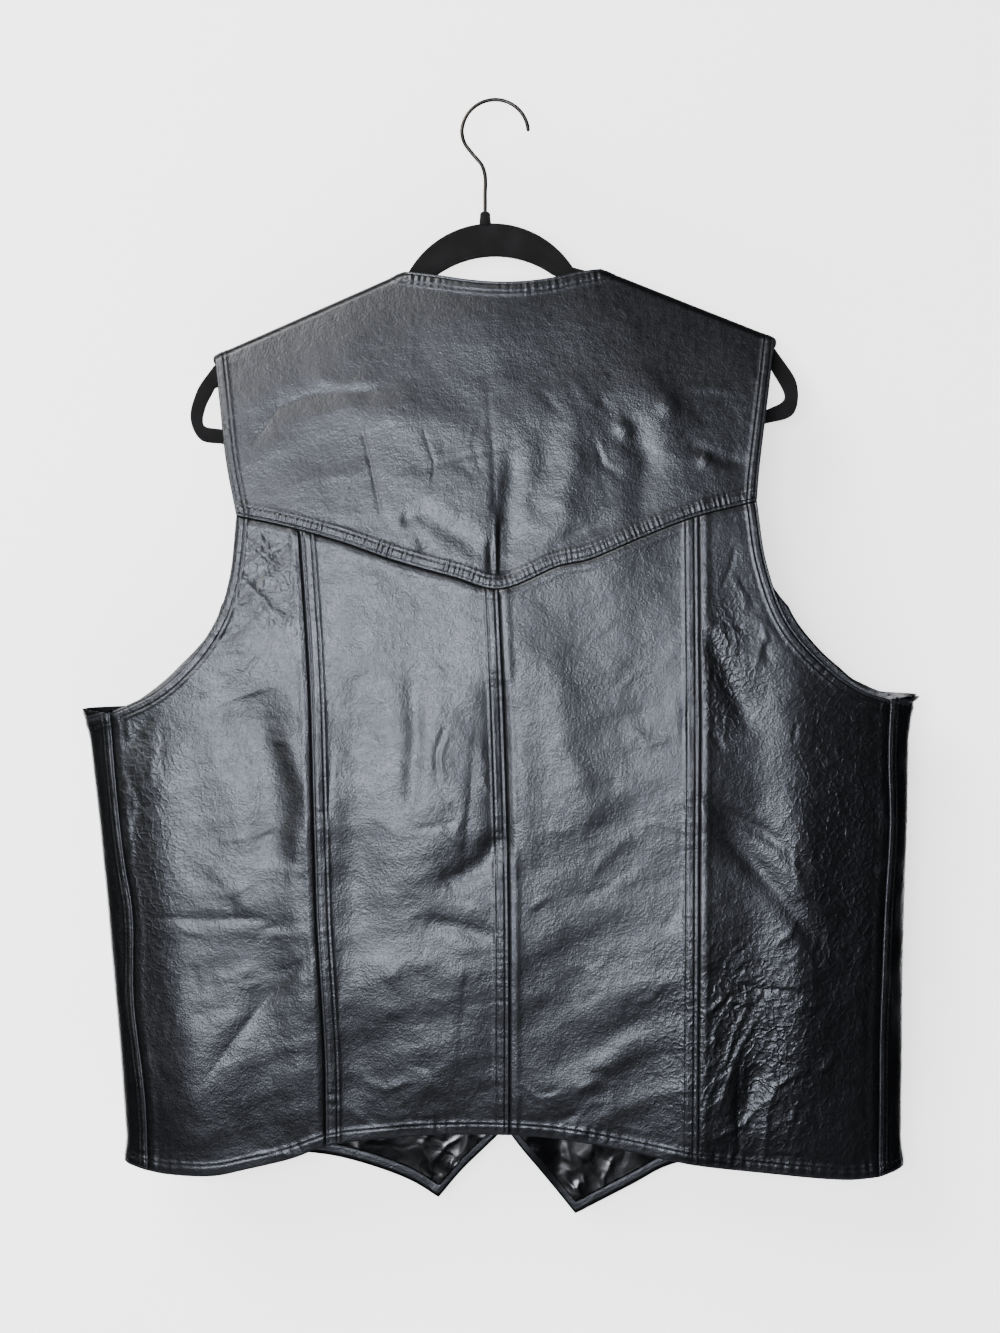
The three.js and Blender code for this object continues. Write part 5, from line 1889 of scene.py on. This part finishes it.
def lathe(name: str, profile: tuple[Place, ...], segments: int, centre: tuple[float, float, float],
          axis: Axis, material: Material) -> Object:
    """Turns a profile round an axis.

    Args:
        name: The object's name.
        profile: Radius and height along the axis, in mm, from one end on the axis to the other.
        segments: How many steps make one turn.
        centre: Where height 0 lies, in mm.
        axis: How it stands.
        material: The finish.

    Returns:
        The object.
    """
    points = []
    for radius, height in profile:
        for i in range(segments):
            angle = math.tau * i / segments
            flat = (radius * math.cos(angle), radius * math.sin(angle))
            points.append((flat[0], height, -flat[1]) if axis is Axis.DEPTH else (*flat, height))
    mesh = bpy.data.meshes.new(name)
    mesh.from_pydata(((np.array(points) + centre) * MM).tolist(), [], ring_faces(len(profile), segments))
    face_outwards(mesh, 1e-6)
    return finished(name, mesh, material)


def rounded(points: list[Place], steps: int = 6) -> tuple[Place, ...]:
    """Returns a profile smoothed through its points."""
    line = curve_through(tuple(points))
    return tuple(map(tuple, line(np.linspace(0, 1, steps * (len(points) - 1) + 1))))


@dataclass
class Snaps:
    """Four snap caps down the left front."""

    x: float = 7.6
    radius: float = 7.5
    height: float = 2.4
    first: float = -462
    last: float = -706
    count: int = 4
    seat: float = 0.4

    def build(self, material: Material) -> None:
        """Builds the caps, domed inside a rolled rim."""
        r, h = self.radius, self.height
        profile = (
            (0, 0), (r - 0.5, 0),
            *rounded([(r - 0.3, 0.15), (r, 0.7), (r - 0.5, 1.35), (r - 1.3, 1.2), (r * 0.76, 1.15)], 3),
            *rounded([(r * 0.7, 1.45), (r * 0.5, h - 0.25), (r * 0.22, h - 0.05)], 4), (0, h),
        )
        for i in range(self.count):
            z = self.first + (self.last - self.first) * i / (self.count - 1)
            base = FORM.depth(np.array(self.x), np.array(z), np.array(1)) + self.seat
            crease = FRONT_FIELD.large(np.array([[self.x, z]]))[0]
            place = (self.x, float(base + crease), z)
            cap = lathe(f"snap_cap_{i + 1}", profile, 40, place, Axis.DEPTH, material)
            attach(cap, BODY)
            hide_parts(f"snap_{i + 1}")
        LOG.info("snaps: %d caps", self.count)


@dataclass
class Hanger:
    """The slim flocked hanger, its collar and its wire hook."""

    plate: float = 5.0
    bevel: float = 1.8
    seat: float = LEATHER_WALL + 0.9
    bow: tuple[float, float, float, float, float] = (-2.2, -159.9, 70.5, -64, 57)  # centre, radius, from, to
    inner: tuple[float, float, float, float, float] = (0, -187, 73, 42, -42)
    collar_x: float = -7.3
    collar_top: float = -81
    collar_radius: float = 4.3
    collar_gap: float = 0.3  # between the bow and the collar's foot, before it is sunk
    collar_sunk: float = 1.4
    wire: float = 1.4  # radius
    hook: float = 24.4  # radius, to the middle of the wire
    hook_sides: int = 16
    neck: tuple[Place, ...] = ((-22.6, -30), (-16.5, -38.5), (-9.6, -47))
    stem_heights: tuple[float, float] = (-55, -68)
    right_arm: tuple[float, float] = (92, 172)
    left_arm: tuple[float, float] = (-172, -74)
    right_outer: tuple[Place, ...] = ((205.7, -181.8), (221.7, -207.9), (218.8, -229.7), (197, -237))
    right_inner: tuple[Place, ...] = ((202.8, -197), (212.3, -218.1), (198.5, -226.8))
    left_outer: tuple[Place, ...] = (
        (-206.5, -194.1), (-218.8, -212.3), (-223.6, -233.4), (-215.9, -248.6), (-199.9, -251.5),
    )
    left_inner: tuple[Place, ...] = ((-205.7, -210.8), (-213, -226.1), (-213.7, -237.7), (-201.4, -240.6))

    def arc(self, bow: tuple[float, float, float, float, float], count: int) -> list[Place]:
        """Returns points along a bow of the hanger."""
        x0, z0, radius, start, end = bow
        return [(x, z0 + math.sqrt(radius**2 - (x - x0) ** 2)) for x in np.linspace(start, end, count)]

    def tip(self, points: tuple[Place, ...], count: int = 36) -> list[Place]:
        """Returns points round a tip of the hanger."""
        return list(map(tuple, curve_through(points)(np.linspace(0, 1, count))))

    def seated(self, arm: tuple[float, float]) -> list[Place]:
        """Returns the hanger's upper edge under the cloth, between two places across."""
        return [(x, float(FORM.shoulder_height(np.array(x))) - self.seat) for x in np.linspace(*arm, 24)]

    def build_plate(self, material: Material) -> None:
        """Builds the plate: an outline with its opening, thickened and rounded."""
        outline = [
            *self.arc(self.bow, 60), *self.seated(self.right_arm), *self.tip(self.right_outer),
            *reversed(self.tip(self.left_outer)), *self.seated(self.left_arm),
        ]
        opening = [
            *self.arc(self.inner, 44), *self.tip(self.left_inner), *reversed(self.tip(self.right_inner)),
        ]
        curve = bpy.data.curves.new("hanger_outline", "CURVE")
        curve.dimensions = "2D"
        curve.fill_mode = "BOTH"
        curve.extrude = (self.plate / 2 - self.bevel) * MM
        curve.bevel_depth = self.bevel * MM
        curve.bevel_resolution = 4
        curve.offset = -self.bevel * MM
        for loop in (outline, opening):
            spline = curve.splines.new("POLY")
            spline.points.add(len(loop) - 1)
            spline.points.foreach_set("co", np.array([(x * MM, z * MM, 0, 1) for x, z in loop]).ravel())
            spline.use_cyclic_u = True
        flat = bpy.data.objects.new("hanger_outline", curve)
        bpy.context.scene.collection.objects.link(flat)
        mesh = bpy.data.meshes.new_from_object(flat.evaluated_get(bpy.context.evaluated_depsgraph_get()))
        bpy.data.objects.remove(flat)
        points = np.array([v.co for v in mesh.vertices])
        mesh.vertices.foreach_set("co", np.stack([points[:, 0], -points[:, 2], points[:, 1]], -1).ravel())
        face_outwards(mesh, 2e-6)
        made = finished("flocked_hanger", mesh, material)
        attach(made, BODY)
        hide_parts("hanger")
        LOG.info("%s: %d faces", made.name, len(mesh.polygons))

    def collar_foot(self) -> float:
        """Returns the height of the collar's foot, just above the bow."""
        x0, z0, radius = self.bow[:3]
        return z0 + math.sqrt(radius**2 - (self.collar_x + self.collar_radius - x0) ** 2) + self.collar_gap

    def build_hook(self, material: Material) -> None:
        """Builds the wire hook."""
        crown = self.wire - self.hook
        angles = np.radians(np.arange(2, 179, 8))
        arc = [(self.hook * math.cos(a), crown + self.hook * math.sin(a)) for a in angles]
        stem = [(self.collar_x, z) for z in (*self.stem_heights, self.collar_foot() + 0.5)]
        rows = curve_through((*arc, *self.neck, *stem))(np.linspace(0, 1, 150))
        along = np.concatenate([[0], np.cumsum(np.hypot(*np.diff(rows, axis=0).T))])
        sides = self.hook_sides
        points = []
        for row, out, start in zip(rows, normals(rows), along):
            short = min(start, along[-1] - start, self.wire)
            thick = self.wire * math.sqrt(max(1 - (1 - short / self.wire) ** 2, 0.02))
            for i in range(sides):
                angle = math.tau * i / sides
                flat = row + out * thick * math.cos(angle)
                points.append((flat[0], thick * math.sin(angle), flat[1]))
        faces = ring_faces(len(rows), sides)
        faces += [tuple(range(sides))[::-1], tuple(range((len(rows) - 1) * sides, len(rows) * sides))]
        mesh = bpy.data.meshes.new("wire_hook")
        mesh.from_pydata((np.array(points) * MM).tolist(), [], faces)
        face_outwards(mesh)
        made = finished("wire_hook", mesh, material)
        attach(made, BODY)
        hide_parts("hanger_hook")
        LOG.info("%s: %d faces", made.name, len(mesh.polygons))

    def build_collar(self, material: Material) -> None:
        """Builds the collar that holds the hook: flocked like the plate, its foot sunk over the bow."""
        r, top, bore = self.collar_radius, self.collar_top, self.wire + 0.1
        foot = self.collar_foot() - self.collar_sunk
        profile = (
            (bore, foot), (r, foot), (r, foot + 2.4), (r - 0.3, foot + 4.4), (r - 0.5, top - 1.8),
            (r - 1.0, top - 0.7), (r - 1.9, top), (bore, top), (bore, foot),
        )
        collar = lathe("hook_collar", profile, 36, (self.collar_x, 0, 0), Axis.UPRIGHT, material)
        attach(collar, BODY)
        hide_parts("hanger_collar")
        LOG.info("%s: %d faces", collar.name, len(collar.data.polygons))


# Studio


@dataclass
class Studio:
    """A pale wall and floor, soft light from the upper left, and the camera."""

    wall_y: float = 0.060
    floor_z: float = -1.45
    room_reach: float = 7.0
    target: tuple[float, float, float] = (0.0036, 0.0, -0.4148)
    distance: float = 2.0
    framed_depth: float = 0.02  # the picture is framed on the plane this far in front of the hanger's
    view_height: float = 0.969
    sensor: float = 36
    wall_colour: str = "#f5f5f4"
    wall_cloud: str = "#f8f8f7"
    wall_glow: float = 1.7  # seen by the camera alone, which lifts the wall to the white of a bright room

    def backdrop(self) -> None:
        """Builds the wall, which can be seen through from behind, and the floor."""
        paint_material, tree, place = new_material("matt_white_wall_paint")
        tone = add_node(tree, "ShaderNodeTexNoise", {
            "Vector": place, "Scale": 1.2, "Detail": 2.0,
        }).outputs["Fac"]
        glow = add_node(tree, "ShaderNodeMath", {
            0: add_node(tree, "ShaderNodeLightPath").outputs["Is Camera Ray"], 1: self.wall_glow,
        }, operation="MULTIPLY").outputs[0]
        paint = add_node(tree, "ShaderNodeBsdfPrincipled", {
            "Base Color": add_node(tree, "ShaderNodeMixRGB", {
                "Fac": tone, "Color1": linear(self.wall_colour), "Color2": linear(self.wall_cloud),
            }).outputs["Color"],
            "Roughness": 0.95, "Specular IOR Level": 0.1,
            "Emission Color": linear(self.wall_colour), "Emission Strength": glow,
        }).outputs["BSDF"]
        clear = add_node(tree, "ShaderNodeBsdfTransparent").outputs["BSDF"]
        behind = add_node(tree, "ShaderNodeNewGeometry").outputs["Backfacing"]
        mixed = add_node(tree, "ShaderNodeMixShader", {"Fac": behind, 1: paint, 2: clear}).outputs["Shader"]
        add_node(tree, "ShaderNodeOutputMaterial", {"Surface": mixed})
        reach, y, z = self.room_reach, self.wall_y, self.floor_z
        wall = [(-reach, y, z), (reach, y, z), (reach, y, reach + z), (-reach, y, reach + z)]
        floor = [(-reach, -reach, z), (reach, -reach, z), (reach, reach, z), (-reach, reach, z)]
        for name, corners in (("backdrop_wall", wall), ("floor", floor)):
            mesh = bpy.data.meshes.new(name)
            mesh.from_pydata(corners, [], [(0, 1, 2, 3)])
            made = finished(name, mesh, paint_material)
            made.visible_glossy = False  # the leather mirrors a dim room
            made.visible_shadow = False  # the lights behind the wall reach the vest's front

    def softbox(self, name: str, place: tuple[float, float, float], size: tuple[float, float], watts: float,
                colour: str = "#ffffff") -> None:
        """Adds a soft light that points at the vest.

        Args:
            name: Its name.
            place: Where it stands.
            size: Its width and height in metres.
            watts: Its power.
            colour: Its colour.
        """
        light = bpy.data.lights.new(name, "AREA")
        light.shape = "RECTANGLE"
        light.size, light.size_y = size
        light.energy = watts
        light.color = linear(colour)[:3]
        made = bpy.data.objects.new(name, light)
        bpy.context.scene.collection.objects.link(made)
        made.location = place
        made.rotation_euler = (Vector(self.target) - Vector(place)).to_track_quat("-Z", "Y").to_euler()
        made.visible_camera = False

    def light(self) -> None:
        """Lights the back from the upper left, and the front from behind the wall."""
        self.softbox("key_softbox", (-0.42, -2.6, -0.34), (0.75, 0.58), 64, "#f3f6ff")
        self.softbox("upper_left_softbox", (-1.5, -1.7, 1.2), (1.8, 1.8), 150, "#fffdf8")
        self.softbox("front_softbox", (-0.25, 2.6, -0.35), (1.0, 1.0), 52, "#f3f6ff")
        self.softbox("front_left_softbox", (-2.1, 2.0, -0.95), (1.2, 1.0), 42)
        self.softbox("front_right_softbox", (2.1, 2.0, -0.95), (1.2, 1.0), 62)
        self.softbox("front_top_softbox", (-1.3, 2.0, 1.5), (1.2, 1.2), 40)
        world = bpy.data.worlds.new("studio")
        bpy.context.scene.world = world
        world.use_nodes = True
        tree = world.node_tree
        tree.nodes.clear()
        way = add_node(tree, "ShaderNodeTexCoord").outputs["Generated"]
        ahead = add_node(tree, "ShaderNodeSeparateXYZ", {"Vector": way}).outputs["Y"]
        dim = add_node(tree, "ShaderNodeBackground", {
            "Color": linear("#c9ccd1"), "Strength": add_node(tree, "ShaderNodeMapRange", {
                "Value": ahead, "From Min": 0.1, "From Max": 0.7, "To Min": 0.01, "To Max": 0.3,
            }, clamp=True).outputs["Result"],
        }).outputs[0]
        pale = add_node(tree, "ShaderNodeBackground", {
            "Color": linear("#eceded"), "Strength": 1.0,
        }).outputs[0]
        seen = add_node(tree, "ShaderNodeLightPath").outputs["Is Camera Ray"]
        mixed = add_node(tree, "ShaderNodeMixShader", {"Fac": seen, 1: dim, 2: pale}).outputs["Shader"]
        add_node(tree, "ShaderNodeOutputWorld", {"Surface": mixed})

    def camera(self) -> None:
        """Sets the camera level with the middle of the picture, looking along +Y."""
        lens = bpy.data.cameras.new("camera")
        lens.sensor_width = self.sensor
        lens.lens = self.sensor * (self.distance - self.framed_depth) / self.view_height
        made = bpy.data.objects.new("camera", lens)
        bpy.context.scene.collection.objects.link(made)
        made.location = (self.target[0], -self.distance, self.target[2])
        made.rotation_euler = (math.pi / 2, 0, 0)
        bpy.context.scene.camera = made

    def build(self) -> None:
        """Builds the backdrop, the lights and the camera."""
        self.backdrop()
        self.light()
        self.camera()


def main() -> None:
    """Builds the vest and its hanger in order."""
    logging.basicConfig(level=logging.INFO, format="%(message)s")
    Studio().build()
    leather = Leather().build()
    vest = VestShell()
    vest.build(leather)
    satin = Satin().build()
    linings = (
        ("lining_front_left", vest.pieces[-2], (0.2774, 0.6351), 0.1199),
        ("lining_front_right", vest.pieces[-1], (0.2724, 0.6498), 0.1222),
    )
    for node, front, flat, area in linings:
        Lining(front, node, flat, area).build(satin)
    runs = [run for piece in vest.pieces for run in piece.stitch_runs()]
    Topstitching().build("topstitching", runs, Thread().build())
    Snaps().build(Enamel().build())
    hanger = Hanger()
    flock = Flock().build()
    hanger.build_plate(flock)
    hanger.build_collar(flock)
    hanger.build_hook(Steel().build())


if __name__ == "__main__":
    main()
